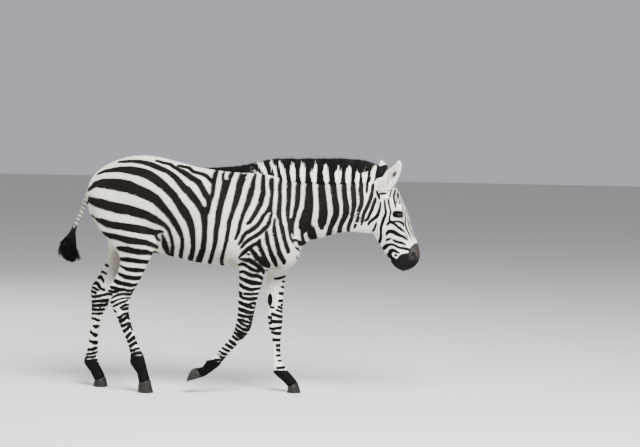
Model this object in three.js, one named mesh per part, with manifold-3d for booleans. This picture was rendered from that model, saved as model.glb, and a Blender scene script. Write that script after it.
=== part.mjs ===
// A plains zebra at life size, walking with its head low: two left feet and the right hind foot on
// the floor, the right forefoot lifted behind. Millimetres, +Z up, the animal faces +X and its left
// side is +Y. The flesh is modelled whole, from smooth lofts, and then parted by thin cuts.
import * as THREE from 'three';
import Module from 'manifold-3d';
import { mergeVertices } from 'three/addons/utils/BufferGeometryUtils.js';

// ---- driving dimensions ----
const WITHERS_HEIGHT = 1216;     // floor to the top of the shoulders, under the mane
const CROUP_HEIGHT = 1300;
const HEAD_LENGTH = 518;         // poll to lips
const HEAD_PITCH = 15.2;         // degrees that the face leans from the vertical
const POLL = [925, 1200];        // X and Z of the top of the head
const MANE_HEIGHT = 122;         // longest hair, above the crest of the neck
const MANE_THICKNESS = 30;
const EAR_LENGTH = 205;
const EAR_WALL = 5;
const EYE_RADIUS = 21;
const LIMB_SPREAD = 112;         // middle of the body to the middle of a leg at the elbow or stifle
const GAP = 0.3;                 // clearance between neighbouring pieces
const RING = { trunk: 26, neck: 20, head: 24, leg: 12, hoof: 16, ear: 6, mane: 8, tail: 8 };

const wasm = await Module();
wasm.setup();

// ---- building blocks ----

// A section of a limb or trunk: the points where it meets the front and back outline, as [x, z],
// half its width, the Y of its middle, where between front (0) and back (1) it is widest, and how
// square its front and back halves are (2 is an ellipse).
const section = (front, back, half, y = 0, widest = 0.5, squareFront = 2, squareBack = 2) =>
  [...front, ...back, half, y, widest, squareFront, squareBack];

const power = (value, exponent) => Math.sign(value) * Math.abs(value) ** exponent;

// The points round one section, grown outwards by `grow`.
function ringOf(row, count, grow) {
  const [fx, fz, bx, bz, half, y, widest, squareFront, squareBack] = row;
  const length = Math.hypot(bx - fx, bz - fz);
  const along = [(bx - fx) / length, (bz - fz) / length];
  const toFront = length * widest + grow;
  const toBack = length * (1 - widest) + grow;
  const middle = [fx + along[0] * length * widest, fz + along[1] * length * widest];
  return Array.from({ length: count }, (_, i) => {
    const angle = (2 * Math.PI * i) / count;
    const square = Math.cos(angle) > 0 ? squareFront : squareBack;
    const reach = power(Math.cos(angle), 2 / square) * (Math.cos(angle) > 0 ? toFront : toBack);
    return new THREE.Vector3(
      middle[0] - along[0] * reach,
      y + power(Math.sin(angle), 2 / square) * (half + grow),
      middle[1] - along[1] * reach,
    );
  });
}

// Rows between the given ones, on a smooth curve through them.
function smoothRows(rows, steps) {
  const at = (i) => rows[Math.min(Math.max(i, 0), rows.length - 1)];
  const found = [];
  for (let i = 0; i < rows.length - 1; i++) {
    for (let k = 0; k < steps; k++) {
      const t = k / steps;
      found.push(at(i).map((value, j) => {
        const inward = (at(i + 1)[j] - at(i - 1)[j]) / 2;
        const outward = (at(i + 2)[j] - at(i)[j]) / 2;
        const rise = at(i + 1)[j] - value;
        return value + inward * t + (3 * rise - 2 * inward - outward) * t * t
          + (inward + outward - 2 * rise) * t ** 3;
      }));
    }
  }
  return [...found, rows[rows.length - 1]];
}

// A closed skin over rings of equally many points, with a fan over each end. A ring that doubles
// back on itself, as round the two faces of an ear, is closed by a strip between its halves.
function skinOver(rings, doubled = false) {
  const count = rings[0].length;
  const points = rings.flat();
  const lastStart = points.length - count;
  const faces = [];
  for (let r = 0; r < rings.length - 1; r++) {
    for (let i = 0; i < count; i++) {
      const a = r * count + i;
      const b = r * count + ((i + 1) % count);
      faces.push(a, b, a + count, b, b + count, a + count);
    }
  }
  for (const [ring, first, turned] of [[rings[0], 0, true], [rings.at(-1), lastStart, false]]) {
    const cap = [];
    if (doubled) {
      for (let i = 0; i < count / 2 - 1; i++) {
        cap.push([i, i + 1, count - 1 - i], [i + 1, count - 2 - i, count - 1 - i]);
      }
    } else {
      const hub = points.push(middleOf(ring)) - 1 - first;
      for (let i = 0; i < count; i++) cap.push([i, (i + 1) % count, hub]);
    }
    for (const [p, q, hub] of cap) faces.push(first + (turned ? q : p), first + (turned ? p : q), first + hub);
  }
  return solidFrom(new THREE.BufferGeometry().setFromPoints(points).setIndex(faces));
}

// A manifold-3d solid from any closed three.js geometry, turned right side out.
function solidFrom(geometry) {
  const bare = new THREE.BufferGeometry().setAttribute('position', geometry.getAttribute('position'));
  if (geometry.index) bare.setIndex(geometry.index);
  const merged = mergeVertices(bare, 1e-3);
  const make = (triVerts) => new wasm.Manifold(new wasm.Mesh({
    numProp: 3, vertProperties: new Float32Array(merged.attributes.position.array), triVerts,
  }));
  const corners = new Uint32Array(merged.index.array);
  const solid = make(corners);
  return solid.volume() > 0 ? solid : make(corners.reverse());
}

const middleOf = (ring) =>
  ring.reduce((sum, p) => sum.add(p), new THREE.Vector3()).divideScalar(ring.length);

// A loft through sections; grown, its ends move out as well as its sides.
function loft(rows, count, steps, grow = 0) {
  const rings = smoothRows(rows, steps).map((row) => ringOf(row, count, grow));
  for (const [end, next] of [[rings[0], rings[1]], [rings.at(-1), rings.at(-2)]]) {
    const outwards = middleOf(end).sub(middleOf(next)).normalize();
    end.forEach((p) => p.addScaledVector(outwards, grow));
  }
  return skinOver(rings);
}

const joined = (solids) => solids.reduce((sum, next) => sum.add(next));

// A long box whose +Z face lies on the line between two [x, z] points, from side to side in Y.
function boxBelow(from, to, sides, depth, grow = 0) {
  const [low, high] = sides;
  const length = Math.hypot(to[0] - from[0], to[1] - from[1]);
  const box = new THREE.BoxGeometry(length + 2 * grow, high - low + 2 * grow, depth + 2 * grow);
  box.translate(length / 2, (low + high) / 2, -depth / 2);
  box.rotateY(-Math.atan2(to[1] - from[1], to[0] - from[0]));
  box.translate(from[0], 0, from[1]);
  return solidFrom(box);
}

function ball(centre, radii, turn = 0, detail = [14, 9]) {
  const shape = new THREE.SphereGeometry(1, ...detail);
  shape.scale(...radii);
  shape.rotateY(THREE.MathUtils.degToRad(turn));
  shape.translate(...centre);
  return solidFrom(shape);
}

// ---- the trunk, from the tail root to the breast ----
const trunkRows = [
  section([-708, 1010], [-708, 1128], 40),
  section([-700, 975], [-696, 1160], 92, 0, 0.5),
  section([-668, 920], [-655, 1211], 128, 0, 0.5, 2, 2.1),
  section([-600, 862], [-585, 1255], 165, 0, 0.52, 2, 2.1),
  section([-505, 815], [-505, 1287], 196, 0, 0.5, 2, 2.1),
  section([-405, 770], [-405, CROUP_HEIGHT], 210, 0, 0.48, 2, 2.05),
  section([-305, 752], [-305, 1291], 208, 0, 0.47, 2, 2.0),
  section([-205, 733], [-200, 1266], 221, 0, 0.45, 2.1, 1.95),
  section([-105, 713], [-100, 1242], 230, 0, 0.43, 2.15, 1.9),
  section([0, 700], [0, 1227], 232, 0, 0.42, 2.15, 1.85),
  section([105, 692], [100, 1217], 220, 0, 0.42, 2.1, 1.8),
  section([205, 682], [195, WITHERS_HEIGHT], 198, 0, 0.43, 2.1, 1.7),
  section([305, 672], [275, 1213], 182, 0, 0.43, 2.1, 1.65),
  section([392, 682], [345, 1196], 165, 0, 0.42, 2.1, 1.7),
  section([446, 716], [395, 1180], 138, 0, 0.42, 2.1, 1.75),
  section([474, 765], [430, 1172], 105, 0, 0.45, 2, 1.8),
];

const neckRows = [
  section([440, 730], [300, 1207], 128, 0, 0.42, 2, 1.8),
  section([488, 808], [400, 1179], 108, 0, 0.42, 2, 1.75),
  section([532, 846], [480, 1171], 90, 0, 0.42, 2, 1.7),
  section([592, 860], [560, 1168], 78, 0, 0.42, 2, 1.7),
  section([662, 884], [645, 1168], 71, 0, 0.43, 2.1, 1.75),
  section([738, 896], [735, 1170], 68, 0, 0.45, 2.1, 1.8),
  section([803, 893], [818, 1177], 68, 0, 0.48, 2.1, 2),
  section([846, 890], [872, 1178], 66, 0, 0.5, 2, 2),
  section([880, 902], [922, 1160], 54, 0, 0.5, 2, 2),
];

// ---- the head, in its own frame: distance down the face from the poll, reach forwards and back ----
function headPoint(down, ahead) {
  const lean = THREE.MathUtils.degToRad(HEAD_PITCH);
  return [POLL[0] + down * Math.sin(lean) + ahead * Math.cos(lean),
    POLL[1] - down * Math.cos(lean) + ahead * Math.sin(lean)];
}
const headSection = (down, ahead, behind, half, ...shape) =>
  section(headPoint(down, ahead), headPoint(down, -behind), half, 0, ...shape);

const headRows = [
  headSection(-4, 22, 40, 34, 0.5),
  headSection(22, 40, 75, 56, 0.45),
  headSection(62, 54, 92, 74, 0.4, 2.2, 2),
  headSection(112, 64, 98, 84, 0.36, 2.3, 2),
  headSection(165, 74, 102, 89, 0.32, 2.4, 2),
  headSection(212, 81, 116, 90, 0.32, 2.4, 2.1),
  headSection(258, 83, 134, 82, 0.36, 2.3, 2.2),
  headSection(305, 83, 125, 71, 0.4, 2.2, 2.1),
  headSection(350, 87, 110, 60, 0.42, 2.1, 2),
  headSection(390, 92, 98, 53, 0.42, 2.1, 2),
  headSection(430, 92, 82, 54, 0.42, 2.2, 2.1),
  headSection(465, 86, 71, 54, 0.43, 2.3, 2.2),
  headSection(492, 68, 55, 48, 0.45, 2.3, 2.2),
  headSection(511, 42, 34, 33, 0.5, 2.2, 2.2),
  headSection(HEAD_LENGTH, 18, 12, 14, 0.5),
];

// A point on the side of the head, with Y measured out from the middle.
const onHead = (down, ahead, y) => {
  const [x, z] = headPoint(down, ahead);
  return [x, y, z];
};
const eyeCentre = (side) => onHead(208, 41, side * 79);

// ---- the legs: front and back outline of each, from inside the body to the coronet ----
const rightFore = [
  section([395, 930], [185, 880], 48, -95),
  section([352, 790], [152, 770], 62, -LIMB_SPREAD + 2, 0.5, 2, 2.2),
  section([308, 700], [147, 706], 58, -LIMB_SPREAD + 2, 0.5),
  section([291, 650], [150, 664], 51, -110, 0.48),
  section([278, 600], [152, 610], 45, -108, 0.46),
  section([262, 545], [149, 550], 39, -107, 0.46),
  section([249, 490], [148, 490], 34, -106, 0.46, 2.2, 2),
  section([238, 440], [145, 435], 34, -105, 0.45, 2.4, 2),
  section([230, 396], [138, 390], 38, -104, 0.42, 2.6, 2.2),
  section([212, 344], [124, 342], 36, -103, 0.42, 2.6, 2.2),
  section([162, 288], [112, 316], 25, -101, 0.4, 2.3, 2.2),
  section([109, 229], [67, 264], 20, -99, 0.42),
  section([72, 184], [28, 222], 22, -97, 0.44),
  section([47, 153], [-15, 190], 29, -96, 0.45, 2.2, 2.2),
  section([5, 119], [-39, 151], 25, -95, 0.48),
  section([-36, 92], [-74, 139], 31, -94, 0.5),
];
const leftFore = [
  section([430, 930], [230, 880], 48, 95),
  section([415, 780], [262, 770], 60, LIMB_SPREAD - 2, 0.5, 2, 2.2),
  section([398, 690], [276, 690], 54, LIMB_SPREAD - 5, 0.5),
  section([386, 640], [276, 640], 47, 102, 0.48),
  section([378, 590], [275, 590], 41, 97, 0.46),
  section([376, 540], [276, 540], 37, 92, 0.46),
  section([374, 490], [281, 488], 34, 88, 0.46, 2.2, 2),
  section([373, 442], [287, 438], 34, 84, 0.45, 2.4, 2),
  section([374, 398], [289, 392], 38, 80, 0.42, 2.6, 2.2),
  section([370, 348], [298, 346], 35, 76, 0.42, 2.6, 2.2),
  section([366, 305], [312, 300], 25, 73, 0.4, 2.3, 2.2),
  section([366, 240], [318, 238], 20, 68, 0.42),
  section([372, 184], [320, 176], 22, 64, 0.44),
  section([396, 136], [328, 108], 29, 61, 0.45, 2.2, 2.2),
  section([430, 99], [380, 64], 26, 59, 0.48),
  section([462, 60], [410, 32], 31, 58, 0.5),
];
const rightHind = [
  section([-345, 1215], [-610, 1190], 62, -95),
  section([-322, 1080], [-672, 1075], 78, -116, 0.5),
  section([-300, 960], [-660, 985], 84, -122, 0.48),
  section([-293, 865], [-636, 905], 84, -125, 0.45),
  section([-305, 795], [-574, 832], 76, -LIMB_SPREAD - 12, 0.45),
  section([-326, 742], [-524, 776], 65, -LIMB_SPREAD - 10, 0.44),
  section([-350, 696], [-508, 722], 56, -122, 0.42, 2, 1.8),
  section([-378, 640], [-519, 654], 46, -120, 0.4, 2, 1.7),
  section([-408, 584], [-548, 597], 37, -119, 0.36, 2, 1.6),
  section([-429, 548], [-574, 566], 34, -118, 0.36, 2.1, 1.8),
  section([-443, 508], [-572, 526], 38, -118, 0.38, 2.4, 2.1),
  section([-452, 462], [-547, 462], 34, -118, 0.4, 2.4, 2.1),
  section([-448, 418], [-522, 408], 26, -119, 0.4, 2.2, 2.1),
  section([-424, 335], [-482, 322], 22, -120, 0.42),
  section([-394, 256], [-449, 243], 22, -121, 0.44),
  section([-366, 206], [-441, 190], 26, -122, 0.45),
  section([-354, 166], [-436, 150], 30, -123, 0.45, 2.2, 2.2),
  section([-342, 122], [-402, 104], 26, -124, 0.48),
  section([-328, 72], [-390, 50], 32, -125, 0.5),
];
const leftHind = [
  section([-355, 1215], [-615, 1190], 62, 95),
  section([-335, 1080], [-676, 1075], 78, 116, 0.5),
  section([-325, 960], [-668, 985], 84, 120, 0.48),
  section([-335, 865], [-652, 908], 82, 122, 0.45),
  section([-362, 795], [-634, 840], 74, LIMB_SPREAD + 7, 0.45),
  section([-400, 738], [-621, 778], 63, LIMB_SPREAD, 0.44),
  section([-437, 690], [-627, 718], 54, 106, 0.42, 2, 1.8),
  section([-482, 640], [-655, 652], 45, 99, 0.4, 2, 1.7),
  section([-540, 585], [-686, 594], 37, 92, 0.36, 2, 1.6),
  section([-575, 550], [-711, 556], 34, 88, 0.36, 2.1, 1.8),
  section([-594, 508], [-710, 512], 38, 85, 0.38, 2.4, 2.1),
  section([-610, 455], [-706, 455], 34, 82, 0.4, 2.4, 2.1),
  section([-629, 408], [-705, 405], 26, 79, 0.4, 2.2, 2.1),
  section([-656, 320], [-711, 318], 22, 74, 0.42),
  section([-660, 235], [-719, 233], 22, 70, 0.44),
  section([-659, 178], [-733, 170], 26, 67, 0.45),
  section([-660, 142], [-738, 126], 30, 65, 0.45, 2.2, 2.2),
  section([-641, 104], [-702, 80], 26, 63, 0.48),
  section([-618, 56], [-678, 32], 32, 62, 0.5),
];

// A hoof: its coronet, its middle and its sole, which is flat.
const hoofRows = {
  fore_right: [section([-38, 90], [-75, 140], 35, -94), section([-80, 77], [-92, 138], 38, -94),
    section([-130, 62], [-106, 128], 41, -94, 0.55, 2.2, 2)],
  fore_left: [section([464, 60], [409, 31], 36, 58), section([474, 32], [409, 14], 40, 58),
    section([484, 0], [404, 0], 43, 58, 0.55, 2.2, 2)],
  hind_right: [section([-326, 72], [-392, 50], 35, -125), section([-318, 36], [-394, 24], 39, -125),
    section([-308, 0], [-394, 0], 42, -125, 0.55, 2.2, 2)],
  hind_left: [section([-616, 56], [-680, 32], 35, 62), section([-609, 30], [-683, 15], 39, 62),
    section([-602, 0], [-686, 0], 42, 62, 0.55, 2.2, 2)],
};

// ---- the flesh, whole ----
function flesh(grow = 0) {
  const lump = (centre, radii, turn) => ball(centre, radii.map((radius) => radius + grow), turn);
  const cheek = (side) => lump(onHead(248, -48, side * 36), [62, 42, 84], HEAD_PITCH - 8);
  const brow = (side) => lump(onHead(196, 44, side * 76), [30, 24, 38], HEAD_PITCH);
  return joined([
    loft(trunkRows, RING.trunk, 2, grow),
    loft(neckRows, RING.neck, 2, grow),
    loft(headRows, RING.head, 2, grow),
    ...[rightFore, leftFore, rightHind, leftHind].map((rows) => loft(rows, RING.leg, 2, grow)),
    ...[-1, 1].flatMap((side) => [cheek(side), brow(side)]),
  ]);
}

// ---- ears: a leaf rolled round its long axis, open towards the front ----
// Each row: distance from the base, radius across, radius front to back, and half the opening in degrees.
const earRows = [
  [0, 26, 26, 6], [22, 33, 34, 10], [50, 39, 37, 28], [85, 42, 32, 52], [120, 42, 24, 74],
  [155, 35, 16, 84], [183, 19, 8, 88], [EAR_LENGTH, 3, 3, 89],
];
function earSolid(base, rotation) {
  const rings = smoothRows(earRows, 2).map(([along, across, depth, opening]) => {
    const arc = (inset) => Array.from({ length: RING.ear + 1 }, (_, i) => {
      const start = THREE.MathUtils.degToRad(opening);
      const angle = start + ((2 * Math.PI - 2 * start) * i) / RING.ear;
      return new THREE.Vector3((depth - inset) * Math.cos(angle), (across - inset) * Math.sin(angle), along);
    });
    const wall = Math.min(EAR_WALL, 0.45 * depth);
    return [...arc(0), ...arc(wall).reverse()];
  });
  const turn = new THREE.Euler(...rotation.map(THREE.MathUtils.degToRad), 'XYZ');
  const place = new THREE.Matrix4().makeRotationFromEuler(turn);
  place.setPosition(...base);
  return skinOver(rings.map((ring) => ring.map((p) => p.applyMatrix4(place))), true);
}
const earPlaces = {
  right: { base: [920, -62, 1122], rotation: [9, 30, -60] },
  left: { base: [922, 60, 1128], rotation: [-37, -7, 60] },
};

// ---- mane: a low fin of hair along the crest, from the back to between the ears ----
const maneTop = (x, z) => [x, z];
const maneRows = [
  section(maneTop(-60, 1234), [-60, 1216], 9),
  section(maneTop(60, 1243), [60, 1200], 12),
  section(maneTop(160, 1256), [165, 1190], 14),
  section(maneTop(245, 1282), [270, 1185], 15),
  section(maneTop(340, 1298), [350, 1165], 15),
  section(maneTop(460, 1168 + MANE_HEIGHT + 10), [465, 1140], MANE_THICKNESS / 2),
  section(maneTop(600, 1168 + MANE_HEIGHT + 14), [600, 1140], MANE_THICKNESS / 2),
  section(maneTop(740, 1168 + MANE_HEIGHT + 14), [730, 1140], MANE_THICKNESS / 2),
  section(maneTop(845, 1292), [812, 1145], 15),
  section(maneTop(915, 1262), [870, 1150], 15),
  section(maneTop(955, 1222), [920, 1150], 14),
  section(maneTop(975, 1178), [940, 1140], 11),
];

// ---- tail: the dock, and the switch of long hair at its end ----
const tailRows = [
  section([-660, 1095], [-672, 1150], 24),
  section([-695, 1050], [-716, 1108], 24),
  section([-716, 1016], [-741, 1040], 17),
  section([-741, 958], [-768, 968], 15),
  section([-767, 905], [-794, 912], 13),
  section([-783, 868], [-806, 874], 12),
];
const switchRows = [
  section([-783, 867], [-806, 873], 12.5),
  section([-779, 830], [-834, 838], 20),
  section([-775, 785], [-868, 795], 28),
  section([-757, 740], [-876, 745], 30),
  section([-742, 708], [-862, 706], 26),
  section([-764, 690], [-832, 690], 14),
];

// ---- parting: each territory takes its share of the flesh, from the outside in ----
const hoofSolid = (name, grow = 0) => loft(hoofRows[name], RING.hoof, 1, grow);
const eyeSolid = (side, grow = 0) => {
  const r = EYE_RADIUS + grow;
  return ball(eyeCentre(side), [r, r, r], 0, [16, 10]);
};
const RIGHT = [-420, -38];
const LEFT = [38, 420];
const WHOLE = [-420, 420];
const territories = {
  foreleg_right_lower: { from: [-150, 372], to: [330, 366], sides: RIGHT, depth: 420 },
  foreleg_left_lower: { from: [240, 372], to: [560, 368], sides: [8, 420], depth: 420 },
  hindleg_right_lower: { from: [-620, 480], to: [-260, 492], sides: RIGHT, depth: 540 },
  hindleg_left_lower: { from: [-780, 478], to: [-540, 482], sides: [8, 420], depth: 540 },
  foreleg_right_upper: { from: [100, 700], to: [345, 716], sides: RIGHT, depth: 420 },
  foreleg_left_upper: { from: [215, 706], to: [440, 716], sides: LEFT, depth: 420 },
  hindleg_right_upper: { from: [-740, 905], to: [-255, 780], sides: RIGHT, depth: 520 },
  hindleg_left_upper: { from: [-760, 905], to: [-255, 780], sides: LEFT, depth: 520 },
  head: { from: [828, 600], to: [884, 1360], sides: WHOLE, depth: 900 },
  neck: { from: [512, 640], to: [345, 1330], sides: WHOLE, depth: 900 },
};

const material = (color, roughness) => new THREE.MeshStandardMaterial({ color, roughness, metalness: 0 });
const COATS = {
  coat: material('#d9d6cf', 0.75),
  mane: material('#2b2826', 0.8),
  hoof: material('#35312d', 0.55),
  eye: material('#120e0c', 0.08),
};

const zebra = new THREE.Group();
function addPiece(name, solid, coat) {
  const { vertProperties, triVerts, numProp } = solid.getMesh();
  const points = new Float32Array((vertProperties.length / numProp) * 3);
  for (let i = 0; i < points.length / 3; i++) {
    points.set(vertProperties.subarray(i * numProp, i * numProp + 3), i * 3);
  }
  const geometry = new THREE.BufferGeometry()
    .setAttribute('position', new THREE.BufferAttribute(points, 3))
    .setIndex(new THREE.BufferAttribute(triVerts, 1));
  geometry.computeVertexNormals();
  const mesh = new THREE.Mesh(geometry, COATS[coat]);
  mesh.name = name;
  zebra.add(mesh);
}

// The largest body of a solid, without slivers that a cut leaves.
const mainBody = (solid) => solid.decompose().sort((a, b) => b.volume() - a.volume())[0];

const hoofNames = Object.keys(hoofRows);
const grownHooves = joined(hoofNames.map((name) => hoofSolid(name, GAP)));
const grownEyes = eyeSolid(-1, GAP).add(eyeSolid(1, GAP));
const nostrils = [-1, 1].map((side) => ball(onHead(452, 62, side * 50), [11, 12, 19], HEAD_PITCH + 25,
  [10, 7]));
let rest = joined([flesh().subtract(grownHooves).subtract(grownEyes)]);
for (const nostril of nostrils) rest = rest.subtract(nostril);

for (const [name, { from, to, sides, depth }] of Object.entries(territories)) {
  addPiece(name, mainBody(rest.intersect(boxBelow(from, to, sides, depth))), 'coat');
  rest = rest.subtract(boxBelow(from, to, sides, depth, GAP));
}
addPiece('trunk', mainBody(rest), 'coat');

for (const name of hoofNames) addPiece(`hoof_${name}`, hoofSolid(name), 'hoof');
for (const [name, side] of [['right', -1], ['left', 1]]) addPiece(`eye_${name}`, eyeSolid(side), 'eye');

const grownFlesh = flesh(GAP);
const ears = Object.entries(earPlaces).map(([name, { base, rotation }]) =>
  [name, mainBody(earSolid(base, rotation).subtract(grownFlesh))]);
for (const [name, ear] of ears) addPiece(`ear_${name}`, ear, 'coat');

addPiece('tail', mainBody(loft(tailRows, RING.tail, 2).subtract(grownFlesh)), 'coat');
const dockEnd = boxBelow([-900, 872], [-700, 866], WHOLE, 400);
addPiece('tail_switch', mainBody(loft(switchRows, RING.tail, 2).intersect(dockEnd)), 'mane');
const mane = mainBody(loft(maneRows, RING.mane, 2).subtract(grownFlesh));
addPiece('mane', mane, 'mane');

// The origin is on the floor, under the middle of the animal's box.
const box = new THREE.Box3().setFromObject(zebra);
const middle = box.getCenter(new THREE.Vector3());
zebra.position.set(-middle.x, -middle.y, -box.min.z);

export default zebra;
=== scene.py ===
import math
import time
from types import SimpleNamespace

import bmesh
import bpy
import numpy as np
from mathutils import Matrix, Vector
from mathutils.bvhtree import BVHTree


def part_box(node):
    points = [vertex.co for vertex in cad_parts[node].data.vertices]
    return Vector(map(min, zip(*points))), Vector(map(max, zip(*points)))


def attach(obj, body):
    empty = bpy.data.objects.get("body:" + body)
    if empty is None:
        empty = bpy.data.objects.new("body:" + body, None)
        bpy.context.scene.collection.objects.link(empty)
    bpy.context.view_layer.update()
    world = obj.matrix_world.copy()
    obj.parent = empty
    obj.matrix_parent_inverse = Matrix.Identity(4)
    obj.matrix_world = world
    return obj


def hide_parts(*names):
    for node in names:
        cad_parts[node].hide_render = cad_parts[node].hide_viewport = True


started = time.time()


def say(text):
    print(f"[zebra {time.time() - started:5.1f}s] {text}")


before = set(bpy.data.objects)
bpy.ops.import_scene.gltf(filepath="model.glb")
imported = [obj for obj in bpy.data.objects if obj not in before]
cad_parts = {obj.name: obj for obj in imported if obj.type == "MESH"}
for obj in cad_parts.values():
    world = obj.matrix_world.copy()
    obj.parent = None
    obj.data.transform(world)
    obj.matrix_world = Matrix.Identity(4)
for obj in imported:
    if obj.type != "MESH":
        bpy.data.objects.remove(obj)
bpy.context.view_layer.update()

# Everything below is measured in millimetres on the animal's own plan: x runs from the
# middle of the back towards the head, y to the animal's left, z up from the floor.
eyeOnPlan = (1019.1, 79.0, 1010.1)
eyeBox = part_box("eye_left")
planShift = eyeOnPlan[0] - 1000 * (eyeBox[0].x + eyeBox[1].x) / 2


def toPlan(co):
    return co * 1000 + np.array([planShift, 0, 0])


def fromPlan(co):
    return (co - np.array([planShift, 0, 0])) / 1000


sides = (("right", -1), ("left", 1))


def eyeCentre(side):
    return np.array([eyeOnPlan[0], side * eyeOnPlan[1], eyeOnPlan[2]])


# Ahead of this x lies the face.
faceFrom = 930
# The head's own axes: down the face from the poll, and ahead of the line of the poll.
headSettings = {"poll": (925, 1200), "pitch": 15.2}
headLean = math.radians(headSettings["pitch"])


def headAxes(x, z):
    dx, dz = x - headSettings["poll"][0], z - headSettings["poll"][1]
    down = dx * math.sin(headLean) - dz * math.cos(headLean)
    ahead = dx * math.cos(headLean) + dz * math.sin(headLean)
    return down, ahead


def onHead(down, ahead, y):
    return (headSettings["poll"][0] + down * math.sin(headLean) + ahead * math.cos(headLean), y,
            headSettings["poll"][1] - down * math.cos(headLean) + ahead * math.sin(headLean))


# A dictionary's values, to be read as s.name.
def named(settings):
    return SimpleNamespace(**settings)


# Reading, writing and finishing meshes.
def readCo(mesh):
    co = np.empty(len(mesh.vertices) * 3, np.float32)
    mesh.vertices.foreach_get("co", co)
    return co.reshape(-1, 3).astype(float)


def readNormals(mesh):
    no = np.empty(len(mesh.vertices) * 3, np.float32)
    mesh.vertex_normals.foreach_get("vector", no)
    return no.reshape(-1, 3).astype(float)


def writeCo(mesh, co):
    mesh.vertices.foreach_set("co", np.ascontiguousarray(co, np.float32).ravel())
    mesh.update()


def newObject(name, mesh):
    made = bpy.data.objects.new(name, mesh)
    bpy.context.scene.collection.objects.link(made)
    return made


def objectFrom(bm, name):
    mesh = bpy.data.meshes.new(name)
    bm.to_mesh(mesh)
    bm.free()
    return newObject(name, mesh)


def addRemesh(made, voxel):
    remesh = made.modifiers.new("remesh", "REMESH")
    remesh.mode = "VOXEL"
    remesh.voxel_size = voxel / 1000


def addSmooth(made, rounds, group=""):
    smooth = made.modifiers.new("smooth", "SMOOTH")
    smooth.factor = 0.5
    smooth.iterations = rounds
    smooth.vertex_group = group


def applyModifiers(made):
    depsgraph = bpy.context.evaluated_depsgraph_get()
    mesh = bpy.data.meshes.new_from_object(made.evaluated_get(depsgraph))
    old = made.data
    made.modifiers.clear()
    made.data = mesh
    bpy.data.meshes.remove(old)
    mesh.name = made.name


def shadeSmooth(made):
    made.data.polygons.foreach_set("use_smooth", [True] * len(made.data.polygons))
    made.data.update()


def dress(made, material):
    made.data.materials.clear()
    made.data.materials.append(material)


def fade(low, high, value):
    t = np.clip((value - low) / (high - low), 0, 1)
    return t * t * (3 - 2 * t)


def unit(vectors):
    return vectors / np.maximum(np.linalg.norm(vectors, axis=-1, keepdims=True), 1e-9)


def storeFloat(mesh, name, values):
    layer = mesh.attributes.get(name) or mesh.attributes.new(name, "FLOAT", "POINT")
    layer.data.foreach_set("value", np.ascontiguousarray(values, np.float32))


# The shortest way from each point to a line of points, in as many axes as both have.
def awayFrom(points, line):
    line = np.asarray(line, float)
    best = np.full(len(points), 1e9)
    for a, b in zip(line[:-1], line[1:]):
        along = b - a
        t = np.clip(((points - a) @ along) / max(along @ along, 1e-9), 0, 1)
        best = np.minimum(best, np.linalg.norm(points - a - t[:, None] * along, axis=1))
    return best


# Points and lines given for the left side stand for both sides here.
def mirrored(x, y, z):
    return np.stack([x, np.abs(y), z], 1)


# The skin: the flesh nodes as one surface. Coats are depths in mm, shares lie between 0 and 1.
skinSettings = {
    "voxel": 3.2,
    "seamOverlap": 0.6,
    "earOverlap": 0.2,
    "smoothRounds": 150,
    "leastSmooth": 0.05,
    "trunkCoat": 4.0,
    "faceCoat": 1.2,
    "legCoat": 1.6,
    "fineCoat": 0.4,
    "leastCoat": 0.25,
    "hoofTuck": 0.8,
    "faces": 160000,
    "trunkThinning": 0.38,
    "leastThinning": 0.03,
    "lidBall": 24.0,
}
# Where each part of the animal begins and where it is complete, in mm along one axis.
zones = {
    "headAhead": (800, 870), "aboveLegs": (590, 760), "dock": (-690, -725), "upperBody": (700, 820),
    "earFoot": (1128, 1150), "earAhead": (880, 900), "earAside": (40, 56),
    "earTop": (1190, 1215), "earTopAhead": (860, 890), "earTopAside": (20, 34),
    "legDown": (760, 600), "faceAhead": (820, 900), "lipsDown": (450, 500),
    "leftHoof": (130, 60), "rightHindHoof": (120, 60),
}
fleshNodes = ["trunk", "neck", "head", "ear_right", "ear_left", "tail",
              "foreleg_right_upper", "foreleg_right_lower", "foreleg_left_upper",
              "foreleg_left_lower", "hindleg_right_upper", "hindleg_right_lower",
              "hindleg_left_upper", "hindleg_left_lower"]


def zone(name, value):
    return fade(*zones[name], value)


def between(value, low, high):
    return (value > low) & (value < high)


# A copy of a CAD node's mesh, its doubled points merged and its surface pushed out by so many mm.
def nodeCopy(name, grow=0.0):
    part = bmesh.new()
    part.from_mesh(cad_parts[name].data)
    bmesh.ops.remove_doubles(part, verts=part.verts, dist=1e-6)
    bmesh.ops.recalc_face_normals(part, faces=part.faces)
    part.normal_update()
    for v in part.verts:
        v.co += v.normal * (grow / 1000)
    return part


def gatherFlesh():
    s = named(skinSettings)
    whole = bmesh.new()
    for name in fleshNodes:
        part = nodeCopy(name, s.earOverlap if name.startswith("ear") else s.seamOverlap)
        piece = bpy.data.meshes.new("part")
        part.to_mesh(piece)
        part.free()
        whole.from_mesh(piece)
        bpy.data.meshes.remove(piece)
    for side in (-1, 1):
        centre = Vector(fromPlan(eyeCentre(side)))
        bmesh.ops.create_uvsphere(whole, u_segments=32, v_segments=20, radius=s.lidBall / 1000,
                                  matrix=Matrix.Translation(centre))
    return objectFrom(whole, "zebra_skin")


# Where the body is smoothed most (trunk and thighs), and least (face, ears, lower legs).
def trunkShare(plan):
    x, _, z = plan.T
    share = zone("aboveLegs", z) * (1 - zone("headAhead", x))
    return np.clip(share * (1 - zone("dock", x)), 0, 1)


def earShare(plan):
    x, y, z = plan.T
    aside = np.abs(y)
    foot = zone("earFoot", z) * zone("earAhead", x) * zone("earAside", aside)
    top = zone("earTop", z) * zone("earTopAhead", x)
    return np.maximum(foot, top * zone("earTopAside", aside))


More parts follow.
